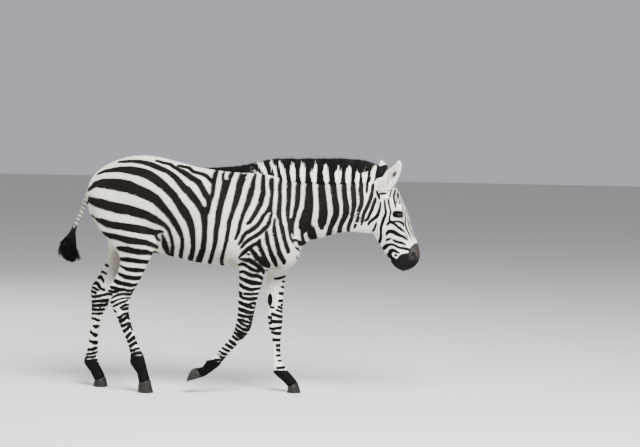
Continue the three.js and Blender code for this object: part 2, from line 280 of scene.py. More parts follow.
def coatDepth(plan):
    s = named(skinSettings)
    x, y, z = plan.T
    leg = zone("legDown", z)
    head = zone("faceAhead", x)
    lips = zone("lipsDown", headAxes(x, z)[0]) * head
    depth = s.trunkCoat + (s.legCoat - s.trunkCoat) * leg
    depth = depth + (s.faceCoat - depth) * head
    depth = depth + (s.fineCoat - depth) * np.maximum(earShare(plan), lips)
    hoof = zone("leftHoof", z) * (y > 0) + zone("rightHindHoof", z) * (y < 0) * (x < 0)
    return np.maximum(depth * (1 - s.hoofTuck * np.clip(hoof, 0, 1)), s.leastCoat)


def groupBy(made, name, values):
    group = made.vertex_groups.new(name=name)
    rounded = np.round(values, 2)
    for step in np.unique(rounded):
        group.add(np.nonzero(rounded == step)[0].tolist(), float(step), "REPLACE")


def buildSkin():
    s = named(skinSettings)
    skin = gatherFlesh()
    addRemesh(skin, s.voxel)
    applyModifiers(skin)
    say(f"skin remeshed, {len(skin.data.vertices)} points")
    groupBy(skin, "much", np.clip(trunkShare(toPlan(readCo(skin.data))), s.leastSmooth, 1))
    addSmooth(skin, s.smoothRounds, "much")
    applyModifiers(skin)
    skin.vertex_groups.clear()
    co, normals = readCo(skin.data), readNormals(skin.data)
    plan = toPlan(co)
    writeCo(skin.data, co - normals * coatDepth(plan)[:, None] / 1000)
    upper = np.minimum(trunkShare(plan), zone("upperBody", plan[:, 2]))
    groupBy(skin, "thin", np.maximum(s.trunkThinning * upper, s.leastThinning))
    decimate = skin.modifiers.new("decimate", "DECIMATE")
    decimate.ratio = s.faces / (2 * len(skin.data.polygons))
    decimate.vertex_group = "thin"
    applyModifiers(skin)
    skin.vertex_groups.clear()
    say(f"skin smoothed and thinned to {len(skin.data.polygons)} faces")
    return skin


# Forms under the skin, raised or sunk along lines: x, y, z points, reach and height in mm.
# The first ones are on both sides of the animal, the others on one.
bothForms = {
    "facialCrest": ([onHead(248, 22, 84), onHead(290, 20, 76), onHead(335, 24, 62)], 11, 3.0),
    "crestHollow": ([onHead(262, 58, 66), onHead(330, 64, 52), onHead(380, 66, 42)], 15, -2.6),
    "cheekHollow": ([onHead(300, -18, 66), onHead(350, -12, 58), onHead(400, -4, 50)], 15, -2.4),
    "browHollow": ([onHead(160, 46, 76), onHead(176, 40, 80)], 14, -3.6),
    "underJaw": ([onHead(205, -104, 44), onHead(255, -126, 40), onHead(310, -118, 34)], 10, 1.8),
    "jawEdge": ([onHead(150, -88, 64), onHead(190, -92, 70)], 12, -2.6),
    "nostrilRim": ([onHead(434, 66, 50), onHead(452, 78, 46), onHead(474, 70, 46)], 8, 2.2),
    "upperLip": ([onHead(440, -8, 54), onHead(475, 0, 52), onHead(500, 10, 40)], 11, 1.6),
    "chin": ([onHead(452, -62, 34), onHead(480, -58, 34)], 13, 2.4),
    "throatGroove": ([(800, 62, 965), (740, 64, 948), (660, 66, 936), (590, 68, 925),
                      (520, 78, 905)], 17, -4.5),
    "neckMuscle": ([(800, 66, 1035), (700, 72, 1020), (600, 78, 1010), (500, 90, 995)], 26, 2.6),
    "crestEdge": ([(780, 40, 1150), (640, 44, 1140), (500, 50, 1140)], 18, 2.0),
    "shoulderFront": ([(330, 90, 1165), (398, 110, 1060), (452, 112, 950), (470, 104, 880)], 24, -5.0),
    "shoulderBlade": ([(268, 105, 1165), (318, 128, 1080), (372, 138, 990), (420, 130, 900)], 24, 4.0),
    "shoulderHollow": ([(222, 130, 1140), (240, 160, 1050), (262, 166, 960)], 30, -4.0),
    "shoulderPoint": ([(432, 112, 862), (446, 100, 842)], 22, 4.0),
    "hip": ([(-322, 128, 1182), (-336, 130, 1168)], 28, 6.0),
    "behindHip": ([(-420, 150, 1160), (-500, 150, 1120), (-560, 140, 1080)], 40, -3.0),
    "flankHollow": ([(-252, 165, 1085), (-238, 180, 1010), (-232, 188, 940)], 34, -7.0),
    "thighMuscle": ([(-500, 165, 1030), (-545, 150, 900), (-520, 140, 800)], 34, 3.5),
    "thighGroove": ([(-420, 178, 1040), (-452, 178, 930), (-452, 160, 820)], 20, -3.0),
    "breastGroove": ([(530, 14, 860), (500, 14, 800), (470, 14, 740)], 11, -4.0),
}
rightForms = {
    "thighFront": ([(-300, -150, 980), (-306, -160, 900), (-316, -165, 830)], 26, 4.0),
    "thighFold": ([(-285, -130, 860), (-262, -135, 815), (-236, -130, 782)], 13, -5.0),
    "gaskinRight": ([(-430, -168, 760), (-452, -160, 690), (-478, -152, 630)], 20, 3.0),
    "achillesRight": ([(-500, -158, 690), (-520, -150, 640), (-545, -146, 592)], 9, -5.5),
    "achillesRightIn": ([(-500, -78, 690), (-520, -82, 640), (-545, -86, 592)], 9, -5.5),
    "hockRight": ([(-486, -156, 520), (-492, -154, 480)], 15, 2.5),
    "cannonHindRight": ([(-490, -142, 405), (-458, -142, 320), (-426, -143, 235)], 6, -2.4),
    "cannonHindRightIn": ([(-490, -96, 405), (-458, -98, 320), (-426, -99, 235)], 6, -2.4),
    "forearmRight": ([(250, -152, 620), (232, -140, 540), (210, -134, 460)], 10, -2.8),
    "kneeRight": ([(178, -138, 372), (172, -138, 352)], 13, 2.2),
    "cannonForeRight": ([(118, -122, 282), (60, -118, 214)], 6, -2.4),
    "fetlockTuftRight": ([(-436, -123, 172), (-436, -123, 160)], 10, 3.0),
    "elbow": ([(172, -140, 770), (168, -140, 740)], 20, 3.5),
    "elbowFold": ([(150, -140, 830), (146, -136, 780), (150, -128, 735)], 12, -5.0),
}
leftForms = {
    "achillesLeft": ([(-612, 148, 690), (-640, 138, 640), (-676, 124, 592)], 9, -5.5),
    "achillesLeftIn": ([(-612, 66, 690), (-640, 62, 640), (-676, 62, 592)], 9, -5.5),
    "hockLeft": ([(-636, 52, 520), (-642, 50, 480)], 15, 2.5),
    "cannonHindLeft": ([(-678, 98, 400), (-694, 94, 310), (-700, 91, 220)], 6, -2.4),
    "cannonHindLeftIn": ([(-678, 56, 400), (-694, 53, 310), (-700, 49, 220)], 6, -2.4),
    "forearmLeft": ([(350, 140, 620), (344, 126, 540), (340, 118, 460)], 10, -2.8),
    "forearmLeftIn": ([(350, 62, 620), (344, 58, 540), (340, 54, 460)], 10, -2.8),
    "kneeLeftIn": ([(334, 40, 392), (334, 42, 350)], 13, 2.2),
    "cannonForeLeft": ([(336, 94, 292), (336, 90, 215)], 6, -2.4),
    "cannonForeLeftIn": ([(336, 50, 292), (336, 46, 215)], 6, -2.4),
    "fetlockTuftLeft": ([(-736, 66, 150), (-737, 65, 134)], 10, 3.0),
}


def raiseForms(mesh):
    co, normals = readCo(mesh), readNormals(mesh)
    plan = toPlan(co)
    push = np.zeros(len(plan))
    forms = [*rightForms.values(), *leftForms.values(), *bothForms.values()]
    forms += [(np.array(line) * [1, -1, 1], reach, height) for line, reach, height in bothForms.values()]
    for line, reach, height in forms:
        path = np.array(line, float)
        near = np.all((plan > path.min(0) - 3 * reach) & (plan < path.max(0) + 3 * reach), axis=1)
        away = awayFrom(plan[near], path)
        push[near] += height * np.exp(-(away / reach) ** 2)
    writeCo(mesh, co + normals * push[:, None] / 1000)


# Finer faces within so many mm of the places where the face has its folds.
foldSettings = {"all": 30, "eyes": 25, "mouth": 13, "lidsAside": 92}


def refine(skin, places, reach):
    bm = bmesh.new()
    bm.from_mesh(skin.data)
    chosen = set()
    centres = [Vector(fromPlan(np.array(place))) for place in places]
    for face in bm.faces:
        middle = face.calc_center_median()
        if any((middle - c).length < reach / 1000 for c in centres):
            chosen.update(face.edges)
    bmesh.ops.subdivide_edges(bm, edges=list(chosen), cuts=1, use_grid_fill=True)
    bmesh.ops.triangulate(bm, faces=bm.faces[:])
    bm.to_mesh(skin.data)
    bm.free()


lidSettings = {
    "shift": (-4.0, -2.5), "halfLength": 17.5, "upper": 10.5, "lower": 8.5, "corner": 2.2, "slant": 14.0,
    "depth": 17.0, "reach": 32.0, "edge": 0.8,
}
mouthLine = [onHead(424, -36, 52), onHead(448, -33, 56), onHead(475, -26, 55), onHead(498, -17, 44),
             onHead(513, -8, 26), onHead(519, -4, 0)]
nostrilLine = [onHead(440, 60, 54), onHead(464, 66, 50)]
# Ridges (+) and grooves (-) beside the lids' edge, the mouth and the nostril: height, how far off, width.
faceRidges = {
    "lidRim": (0.9, -2.2, 1.6), "lidCrease": (-1.1, -8.5, 1.7), "browFold": (0.8, -12.5, 2.5),
    "mouth": (-4.2, 0, 2.6), "lips": (1.2, 7, 4), "nostril": (-7.0, 0, 6.5), "nostrilRim": (1.4, 13, 4),
    "wrinkles": (0.35, 20, 9),
}
wrinkleWaves = (2.2, 5)


def ridge(name, away):
    height, place, width = faceRidges[name]
    return height * np.exp(-((away - place) / width) ** 2)


# Distance inside the opening between the lids, in mm, on the plane of the cheek.
def almond(x, z):
    s = named(lidSettings)
    u, w = x - eyeOnPlan[0] - s.shift[0], z - eyeOnPlan[2] - s.shift[1]
    turn = math.radians(s.slant)
    u, w = u * math.cos(turn) - w * math.sin(turn), u * math.sin(turn) + w * math.cos(turn)
    reach = np.where(w > 0, s.upper, s.lower)
    return (1 - np.clip((np.abs(u) / s.halfLength) ** s.corner, 0, 4)) * reach - np.abs(w)


def onMuzzle(x, z):
    return (headAxes(x, z)[0] > 395) & (x > faceFrom)


def carveFace(mesh):
    s = named(lidSettings)
    co, normals = readCo(mesh), readNormals(mesh)
    plan = toPlan(co)
    x, y, z = plan.T
    side = np.sign(y)
    offset = np.stack([x - eyeOnPlan[0], y - side * eyeOnPlan[1], z - eyeOnPlan[2]], 1)
    away = np.linalg.norm(offset, axis=1)
    outer = (offset[:, 1] * side > 2) & (away < s.reach)
    inside = almond(x, z)
    opened = fade(-s.edge, s.edge, inside) * outer
    around = outer * (1 - opened)
    above = fade(-2, 6, z - eyeOnPlan[2])
    change = opened * (s.depth - away) + around * ridge("lidRim", inside)
    change += around * above * (ridge("lidCrease", inside) + ridge("browFold", inside))
    plan = plan + unit(offset) * change[:, None]
    # the mouth is a groove round the muzzle, and the lips roll into it
    folded = mirrored(x, y, z)
    near = onMuzzle(x, z)
    gap = np.full(len(plan), 99.0)
    gap[near] = awayFrom(folded[near], mouthLine)
    push = ridge("mouth", gap) + ridge("lips", gap)
    # the nostril is sunk inside its rim, with fine wrinkles beside it
    hole = awayFrom(folded, nostrilLine)
    push += ridge("nostril", hole) + ridge("nostrilRim", hole)
    down, ahead = headAxes(x, z)
    push += ridge("wrinkles", hole) * np.sin(down / wrinkleWaves[0] + ahead / wrinkleWaves[1])
    plan = plan + normals * push[:, None]
    writeCo(mesh, fromPlan(plan))


# The near ear is slimmer behind, towards its tip, and both tips are blunt.
# Each line is a run of heights and the places at those heights.
earTrim = {
    "back": ([1228, 1276, 1297, 1313], [924, 954, 982, 1016]),
    "front": ([1179, 1272, 1313], [994, 1032, 1030]),
    "slim": ([1222, 1240, 1260, 1276, 1290, 1313], [0, 7, 18, 20, 8, -6]),
    "leastWidth": 8, "tipZone": (1272, 1312), "tipBack": 15,
    "nearBlunt": 1300, "farBlunt": 1292, "blunting": 0.5,
}


def trimEars(mesh):
    s = named(earTrim)
    plan = toPlan(readCo(mesh))
    x, y, z = plan.T
    share = earShare(plan)
    back, front, slim = (np.interp(z, *line) for line in (s.back, s.front, s.slim))
    toBack = np.clip((front - x) / np.maximum(front - back, s.leastWidth), 0, 1)
    tip = -s.tipBack * fade(*s.tipZone, z)
    plan[:, 0] = x + (slim * toBack + tip) * share * (y < 0)
    blunt = np.where(y > 0, s.farBlunt, s.nearBlunt)
    plan[:, 2] = np.where(z > blunt, z - s.blunting * (z - blunt) * share, z)
    writeCo(mesh, fromPlan(plan))


skin = buildSkin()
raiseForms(skin.data)
eyePlaces = [(eyeOnPlan[0], side * foldSettings["lidsAside"], eyeOnPlan[2]) for side in (-1, 1)]
# Places along the mouth and the nostril: down the face, ahead and aside.
mouthSpots = [(428, -36, 48), (455, -32, 52), (482, -24, 50), (505, -12, 34), (517, -5, 10), (452, 62, 48),
              (470, 66, 44)]
mouthPlaces = [onHead(down, ahead, side * aside) for side in (-1, 1) for down, ahead, aside in mouthSpots]
refine(skin, eyePlaces + mouthPlaces, foldSettings["all"])
refine(skin, eyePlaces, foldSettings["eyes"])
refine(skin, mouthPlaces, foldSettings["mouth"])
carveFace(skin.data)
trimEars(skin.data)
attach(skin, "root")
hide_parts(*fleshNodes)
shadeSmooth(skin)
say(f"face carved, skin has {len(skin.data.polygons)} faces")


# The markings: dark strokes on a white coat, each a run of (x, z, half width) in mm.
bodyStrokes = [
    # back and rump
    [(-200,1246,3), (-165,1238,4), (-143,1235,5), (-125,1223,5), (-112,1213,5), (-88,1208,5),
     (-68,1204,5), (-45,1195,7), (-30,1187,7), (-15,1172,6), (-2,1160,6)],
    [(-323,1270,2), (-304,1266,3), (-278,1258,4), (-255,1255,4), (-238,1250,5), (-222,1239,5),
     (-200,1228,6), (-183,1219,8), (-163,1211,10), (-140,1197,11), (-118,1183,12), (-93,1170,12),
     (-69,1156,13), (-45,1120,13), (-28,1095,14), (-12,1070,13), (-4,1050,11), (-8,1020,12),
     (-15,1000,14)],
    [(-530,1258,2), (-500,1261,4), (-450,1264,5), (-400,1261,7), (-350,1251,10), (-300,1233,11),
     (-250,1214,9), (-225,1199,10), (-200,1181,12), (-175,1156,14), (-150,1130,15),
     (-125,1112,18), (-95,1080,18), (-67,1050,16), (-48,1020,15), (-30,1000,21), (-23,950,16),
     (-23,900,13), (-25,850,13), (-34,800,13), (-52,770,12), (-75,745,12), (-92,733,10)],
    [(-645,1188,2), (-600,1206,6), (-550,1214,9), (-500,1219,13), (-450,1216,18),
     (-400,1209,20), (-350,1195,22), (-300,1166,22), (-250,1130,20), (-200,1085,19),
     (-175,1050,19), (-136,1000,23), (-105,950,19), (-91,900,16), (-88,850,13), (-90,800,11),
     (-103,770,10), (-125,748,10), (-137,735,8)],
    [(-700,1095,6), (-672,1113,8), (-650,1132,14), (-600,1140,23), (-550,1138,28), (-500,1134,31),
     (-450,1127,31), (-400,1108,28), (-350,1090,27), (-300,1063,25), (-237,1000,18),
     (-195,950,17), (-164,900,14), (-147,850,9), (-153,800,9), (-166,775,8), (-178,757,8)],
    [(-710,1052,14), (-675,1046,16), (-650,1038,21), (-600,1030,26), (-550,1018,24), (-500,1008,27),
     (-450,1002,25), (-400,989,24), (-350,975,22), (-300,953,19), (-250,925,12), (-224,900,9),
     (-209,850,8), (-207,800,8), (-222,770,7), (-233,758,6)],
    [(-690,962,3), (-655,950,5), (-620,940,9), (-600,934,15), (-550,918,17), (-500,913,16), (-450,907,17),
     (-400,900,18), (-350,890,17), (-320,883,14), (-300,880,11), (-275,888,7), (-255,886,3)],
    [(-300,878,5), (-298,860,5), (-290,845,5), (-283,838,4)],
    # Not a stripe: painted shadow in the flank fold, drawn as a dark stroke.
    [(-262,868,3), (-255,845,9), (-253,820,15), (-251,795,17), (-249,772,9)],
    [(-620,873,3), (-585,866,6), (-550,856,12), (-520,853,13), (-500,849,12), (-450,836,16), (-400,831,14),
     (-350,824,11), (-325,814,10), (-305,800,8)],
    [(-510,790,5), (-500,788,9), (-450,784,14), (-400,774,12), (-350,771,11), (-325,762,7),
     (-312,757,3)],
    [(-497,728,6), (-450,728,10), (-400,723,9), (-350,716,7), (-330,712,3)],
    # barrel
    [(7,1212,10), (7,1200,11), (9,1150,10), (10,1100,9.5), (-3,1050,9)],
    [(48,1208,5), (51,1190,5), (55,1175,5), (60,1160,6)],
    [(93,1205,8), (92,1200,12), (90,1188,10), (92,1175,6), (88,1160,9)],
    [(74,1150,21), (68,1100,17), (59,1050,15), (52,1000,15), (48,950,13), (40,900,12),
     (36,850,11), (24,800,8.5), (10,772,7), (-4,750,6), (-17,738,6)],
    [(141,1208,3), (142,1195,6), (154,1190,12)],
    [(172,1200,4), (154,1190,12), (154,1175,20), (149,1150,17.5), (145,1100,16), (136,1050,14),
     (123,1000,10), (109,950,10.5), (104,900,8), (95,850,8), (81,800,6), (70,775,6),
     (57,750,7), (51,720,8)],
    [(217,1216,4), (221,1200,7), (219,1175,9), (217,1150,13), (211,1100,15.5), (200,1050,13),
     (183,1000,8.5), (169,950,8), (159,900,8), (150,875,6), (143,858,5)],
    [(262,1212,4), (266,1200,7), (269,1175,10), (272.5,1150,11), (276,1125,12), (276,1100,14),
     (268,1050,12.5), (257,1025,11), (246,1000,10), (232,975,9), (216,950,8), (205,941,5)],
    [(314,1175,11), (317,1150,11), (323,1125,9), (326,1100,7), (325,1075,8), (323.5,1050,9.5),
     (319,1025,12)],
    [(319,1025,11), (308,1010,8), (299,1000,6.5), (283.5,975,8), (271,950,9), (253,927,9.5),
     (232,911,9.5), (213,898,9), (195,888,8), (184,870,7), (174,850,6), (166,838,5),
     (158,826,3)],
    [(323,1020,8), (328,1010,6), (330,1000,5.5), (326,975,6.5), (320.5,950,8), (309,925,9),
     (292,912,8), (278,896,8), (263,884,8), (246,873,7.5), (226,861,7), (206,848,7),
     (188,830,6), (176,815,5), (170,808,3)],
    # shoulder
    [(358,1187,5), (363,1175,7), (361.5,1150,9), (364.5,1125,8.5), (367,1100,8),
     (368.5,1075,9), (369,1050,10), (370,1025,10), (369,1000,12), (372,985,10), (376,975,8),
     (379,950,8), (387,925,9.5), (393,900,9.5), (399,875,8.5), (404,850,8.5), (411,825,9),
     (419,800,8), (421,788,7)],
    [(349,967,3), (348,950,4), (347,925,7), (349.5,900,8.5), (354,875,9), (360,850,8.5),
     (365.5,825,10), (370,800,10.5), (378,775,11), (388,750,11), (396,737,9), (395,725,6)],
    [(308,898,5), (309,875,9), (312,850,9.5), (318,825,9), (325,800,10), (332,775,11),
     (342,750,12), (350,725,10), (354,710,5)],
    [(272,857,4), (271,848,7), (269,825,9.5), (277,800,10.5), (288,775,11), (299,750,10),
     (308,732,9), (314,716,8)],
    [(262,838,7), (250,831,7), (236,824,7), (218,811,8), (206,803,8), (190,787,8),
     (175,774,7), (160,763,5)],
    [(222,812,6), (229,795,9), (240,779,12), (257,758,12), (273,740,11), (288,723,10),
     (303,712,9), (312,704,6)],
    [(205,774,4), (214,773,4)],
    # neck
    [(407,1175,9.5), (410,1150,12), (412,1125,11), (414,1100,10.5), (415,1075,10),
     (415,1050,10), (413.5,1025,10), (415,1000,8), (417,975,6), (422,958,8), (432,945,13)],
    [(432,955,13), (432,945,15), (433,925,13), (435,900,11), (438,875,9.5), (443,860,10),
     (452,847,11), (462,838,13), (475,832,14), (500,830,8)],
    [(459.5,1160,12), (459.5,1150,12), (461.5,1100,12.5), (461,1050,11.5), (456.5,1025,11),
     (451,1000,9), (447,975,8), (441,955,9)],
    [(516,1162,15), (518,1150,16), (522.5,1100,19.5), (524,1050,23), (522.5,1025,23.5),
     (518,1000,27), (512,975,28.5), (507,950,31), (506,925,31), (500,913,20)],
    [(492,912,12), (489,900,8), (489.5,875,6.5), (495,850,5), (500,835,5)],
    [(530,912,22), (538,900,22), (542,875,22), (548,860,18), (555,850,12)],
    [(583,1162,16), (585,1150,17), (593,1100,19.5), (600,1050,21), (603,1025,22),
     (604,1000,22.5), (601,975,22), (596,950,21), (592,930,14), (597,918,8)],
    [(648,1160,14), (650,1150,15.5), (659,1100,15), (668.5,1050,16.5), (673,1025,16),
     (673.5,1000,15), (665,975,14), (655,950,13), (643,925,10), (636,900,10.5), (630,880,12),
     (628,868,10)],
    [(708,1160,12), (709,1150,13), (715,1100,12.5), (725,1050,14), (727,1025,15),
     (726,1000,14), (716,975,12), (703,950,10), (693,925,9.5), (688,900,10), (686,885,10)],
    [(759,1160,12), (759,1150,12), (762,1125,12), (765,1100,11.5), (768,1075,11),
     (770,1050,11.5), (766,1025,9.5), (761,1000,8), (757,975,7.5), (747,950,7.5),
     (738,925,6.5), (736,900,5), (736,892,4)],
    [(803,1165,9), (803,1150,9.5), (804,1125,10), (809,1100,10), (811.5,1075,9.5),
     (809,1050,9.5), (800,1025,8.5), (793,1000,6), (791,992,3)],
    [(795,982,5), (791,975,6), (781,950,5.5), (774,932,4), (772,925,3)],
    [(836,1165,5), (836,1150,5), (836,1125,3.5), (836,1117,2)],
    [(868,1160,5), (868,1150,6), (866,1125,6), (862,1100,8), (855,1075,7), (846,1050,7),
     (834,1025,7), (823,1000,6.5), (818,975,5), (812,950,4), (810,942,3)],
    [(885,1086,4), (883,1075,6), (874,1050,6), (867,1025,6), (855,1000,5.5), (851,987,5),
     (845,975,5), (831,964,3)],
]

headStrokes = [
    # cheek and jaw
    [(914,1066,3), (914,1050,4), (909,1025,6), (900,1000,8), (892,987,8), (877,975,7),
     (858,960,6), (849,947,5), (846,942,3)],
    [(891,1128,3), (892.5,1124,4), (899,1109,6), (906,1095,6), (910,1084,3)],
    [(936.5,1080,3), (939,1058,4), (941,1036,5), (945.6,1013,5.5), (941.5,995,6.5),
     (933,977,7), (927,956,7), (921,939,6.5), (919,919,6), (919,906,5.5), (919,884,6),
     (916,865,7), (908,846,7), (904,839,4)],
    [(892,955,3), (890,943,5), (881.5,922,5), (873,909,5)],
    [(957,1083,4), (959,1070,4), (963,1050,3), (969,1032,3), (972,1019,3), (968.6,1001,3.5),
     (966,985,3), (964.5,972,4)],
    [(953,945,4), (961,956,6), (971,963,8), (982.5,959,7), (996,949,5.5), (1012,936,5.5),
     (1029.5,922,5.5), (1045,912,3)],
    [(991,967,3.5), (1007,966,4), (1020.5,965,5), (1037,956,5), (1042.5,943,3)],
    [(949,891,4), (952,900,6), (962,908.5,9), (976,910,10), (989.5,907,11), (1003,899,10.5),
     (1018.5,891.5,8), (1036,885,6), (1049.5,876,5), (1063,865,3)],
    [(949,861,4), (956,865,6), (968.5,870,4), (976,871,2)],
    [(984.5,865,3), (996,857.5,6), (1012,852,6), (1030,850,6), (1041,846,5), (1052.5,838,3)],
    [(929,812,7), (938,819,10), (947,828.5,10), (961,836,7), (977,840,6), (994,835,5.5),
     (1008,827,5.5), (1026,820.5,5.5), (1044,819.5,5.5), (1062,816,6), (1075,812,6)],
    [(958.5,778,8), (966.5,789.5,10), (973.5,801,11), (982.5,807.5,9), (994,805,7),
     (1008,798,6), (1019,794,3)],
    [(966,784,10), (969,774,12), (976,765,8), (992,757,9)],
    [(1001,781,6), (1002,780,6)],
    # forehead
    [(960,1141,2.5), (955,1131,2.5)],
    [(978,1146,2), (971,1126,2.5), (966,1107,3), (967,1093,2)],
    [(992,1133,2.5), (987,1114,4), (986,1100,4), (990,1082,4), (994,1064.5,4), (998,1042,2.5)],
    [(1005,1118,2.5), (1008,1104,3.5), (1009,1092,3)],
    [(912,1112,3), (918,1114,3.5), (927,1115,4), (945,1117,2.5)],
]

nearForeStrokes = [
    [(158,746,3), (167,745,5), (179,743,7), (197,741,10), (216,741,13), (235,730,13),
     (251,719,11), (265,708,10), (279,694,10), (290,678,9), (296,662,5)],
    [(150,709,4), (158,713,6), (172,718,8), (188,716,9), (203,708,9), (219,699,9),
     (235,690,9), (251,684,8), (266,681,7), (280,684,6)],
    [(158,672,5), (178,677,8), (192,675,9), (206,668,10), (221,661,11), (239,656,11),
     (257,656,10), (273,651,9), (283,640,7), (290,627,5)],
    [(156,645,6), (166,640,8), (178,636,9), (194,630,11), (212,624,12), (230,619,13),
     (250,617,12), (268,615,9), (283,610,6)],
    [(158,607,7), (166,603,9), (178,594,9), (200,587,9.5), (225,580,8), (250,584,6.5),
     (272,587,5)],
    [(150,565,6), (165,560,6), (200,556.5,6), (225,555,6), (262,558,5)],
    [(163,543,6), (180,534,7), (198,530,7), (221,528,9), (246,531,8), (258,533,5)],
    [(155,511,6), (168,506,9), (184,499,9), (203,494,11), (223,484,8), (242,480,5)],
    [(212,498,5), (227,504,5), (241,507,6), (248,499,5)],
    [(155,473,7), (168,469,9), (186,465,10), (205,458,10), (224,454,8), (245,458,7)],
    [(152,441,6), (171,437,7), (193,434,7), (214,431,6), (238,433,6)],
    [(216,419,3), (234,412,6)],
    [(152,412,6), (168,414,5), (187,410,6), (205,404,6), (220,399,5), (232,391,4)],
    [(161,403,4), (174,394,5), (189,387,5.5), (207,380,5.5), (226,381,5)],
    [(143,387,5), (157,379,6), (172,370,6), (188,363,7), (205,359,8), (221,365,6)],
    [(140,364,5), (152,355.5,6), (167,347,8), (182,338.5,9), (196,334,9)],
    [(134,343,5), (147,335,6), (159,327,8), (171,318,11), (181,314,8)],
    [(122.5,323,5), (134,315,7), (147,306.5,7), (157,302,4)],
    [(103,300,5), (114,293,7), (128,284,10), (137,276.5,8)],
    [(84,277,6), (98,270,7), (112,262,7), (123,257,6)],
    [(62,258,4), (74,252,5), (88,245,6), (102,240,6)],
    [(47,238,4), (59,231,5), (72,225,6), (88,220,6)],
    [(45,218,3), (57,208,5), (70,203,5), (83,201,5)],
    [(27,190,4), (46,189,5), (62,187,6), (75,189,5)],
    [(36,171,4), (55,169,6)],
]

nearHindStrokes = [
    [(-503,692,3), (-483,686,4), (-466,680,7), (-450,675,9), (-425,673,10.5), (-400,671,10.5),
     (-375,670,8), (-358,671,4)],
    [(-508,650,3), (-502,646,6), (-483,640,8), (-466,634,10), (-450,631,10), (-425,627,10),
     (-400,627,9.5), (-380,630,6)],
    [(-540,612,6), (-530,609,8), (-515,603,10), (-500,599,10), (-475,595,9), (-450,591,10),
     (-433,587,8), (-417,589,6), (-400,593,4)],
    [(-553,574,4), (-545,572,6), (-524,568,8), (-500,562,8), (-475,563,6), (-462,560,5),
     (-450,557,6), (-435,556,5), (-420,562,5), (-410,570,3)],
    [(-561,553,4), (-550,549,5), (-532,548,4), (-511,550,5)],
    [(-572,538,3), (-560,533,3.5), (-541,533,2)],
    [(-545,512,1), (-524,526,3), (-501,535,4), (-477,539,4.5), (-449,536,4.5), (-430,538,3),
     (-416,541,1)],
    [(-557,488,3), (-543,490,4), (-527,497,3), (-505,508,1.5), (-484,515,1.5), (-465,518,1.5),
     (-444,516,1.5), (-426,524,1)],
    [(-544,465,2), (-533,469,2.5), (-515,478,3.5), (-493,489,3.5), (-473,497,3), (-455,504,1)],
    [(-538,448,4), (-527,443,4), (-516,437,2)],
    [(-491,462,3), (-477,473,4), (-463,480,4), (-449,479,2.5), (-436,473,1)],
    [(-440,497,3), (-435,496,3)],
    [(-480,453,3), (-467,456,5), (-457,459,5), (-447,455,5)],
    [(-509,407,4), (-494,411,4.5), (-482,422,4), (-468,431,3.5), (-456,435,2)],
    [(-499,385,8), (-487,391,8), (-475,398,7), (-457,415,6), (-450,424,6)],
    [(-452,406,2.5), (-441,399,2.5), (-431,392,1.5)],
    [(-490,361,7), (-478,364,6), (-463,372,5), (-450,378,5), (-441,373,6), (-437,367,6)],
    [(-478,331,7), (-466,338,6), (-454,349,6), (-447,357,5)],
    [(-428,350,6), (-424,344,7)],
    [(-459,300,7), (-447,314,6), (-437,326,5)],
    [(-455,275,6), (-439,282,6), (-426,294,7), (-414,303,9), (-406,306,8)],
    [(-445,248,6), (-432,256,6), (-420,266,6), (-407,273,6), (-393,273,8)],
    [(-408,239,4), (-390,242,4), (-374,241,4)],
    [(-442,227,6), (-429,229,6), (-414,233,4)],
    [(-427,206,6), (-411,213,6), (-394,217,6), (-375,219,6), (-365,217,8)],
]

farHindStrokes = [
    [(-635,680,4), (-625,677,5), (-613,674,4)],
    [(-653,640,4), (-636,637,4), (-620,629,4)],
    [(-668,608,8), (-653,610,8), (-641,599,6), (-634,586,4)],
    [(-699,570,5), (-693,575,6), (-679,577,8), (-667,571,8), (-657,560,7), (-650,548,5),
     (-628,541,5)],
    [(-699,551,4), (-686,549,5), (-671,542,5), (-660,537,3)],
    [(-717,527,6), (-708,531,6), (-692,527,5), (-677,523,6)],
    [(-713,505,6), (-694,501,6), (-675,502,6), (-655,506,6), (-633,512.5,5), (-611,518,6)],
    [(-713,468,5), (-695,473,6), (-678,476,6), (-653,479,6), (-631,481,8), (-608,482,8)],
    [(-713,447,5), (-699,449,8), (-677,452,6), (-652,454,7), (-627,456,7), (-612,460,6)],
    [(-716,429,5), (-698,429,6), (-677,428.5,5), (-652,429.5,6), (-630,432,5)],
    [(-713,401,4), (-693,406,4.5), (-677,407,4), (-655,406,5), (-640,409,4)],
    [(-716,376,4), (-697,380,5), (-681,378,5), (-668,372,6), (-658,370,6)],
    [(-686,338,4), (-672,333,9), (-661,338,5)],
    [(-719,315,8), (-707,307,6), (-692,296,6), (-683,290,8), (-674,287,10)],
    [(-721,263,7), (-709,253,4), (-694,249,6), (-681,245,9), (-673,245,10)],
    [(-732,206,7), (-717,205,6), (-699,205,6), (-684,209,7), (-672,214,7)],
    [(-733,178,5), (-718,180,4), (-698,182,4), (-678,187,4), (-665,192,3)],
    [(-736,153,8), (-726,160,5), (-711,163,4), (-692,164,4), (-675,168,5)],
    [(-727,140,8), (-702,141,7), (-679,144,8), (-669,147,6)],
]

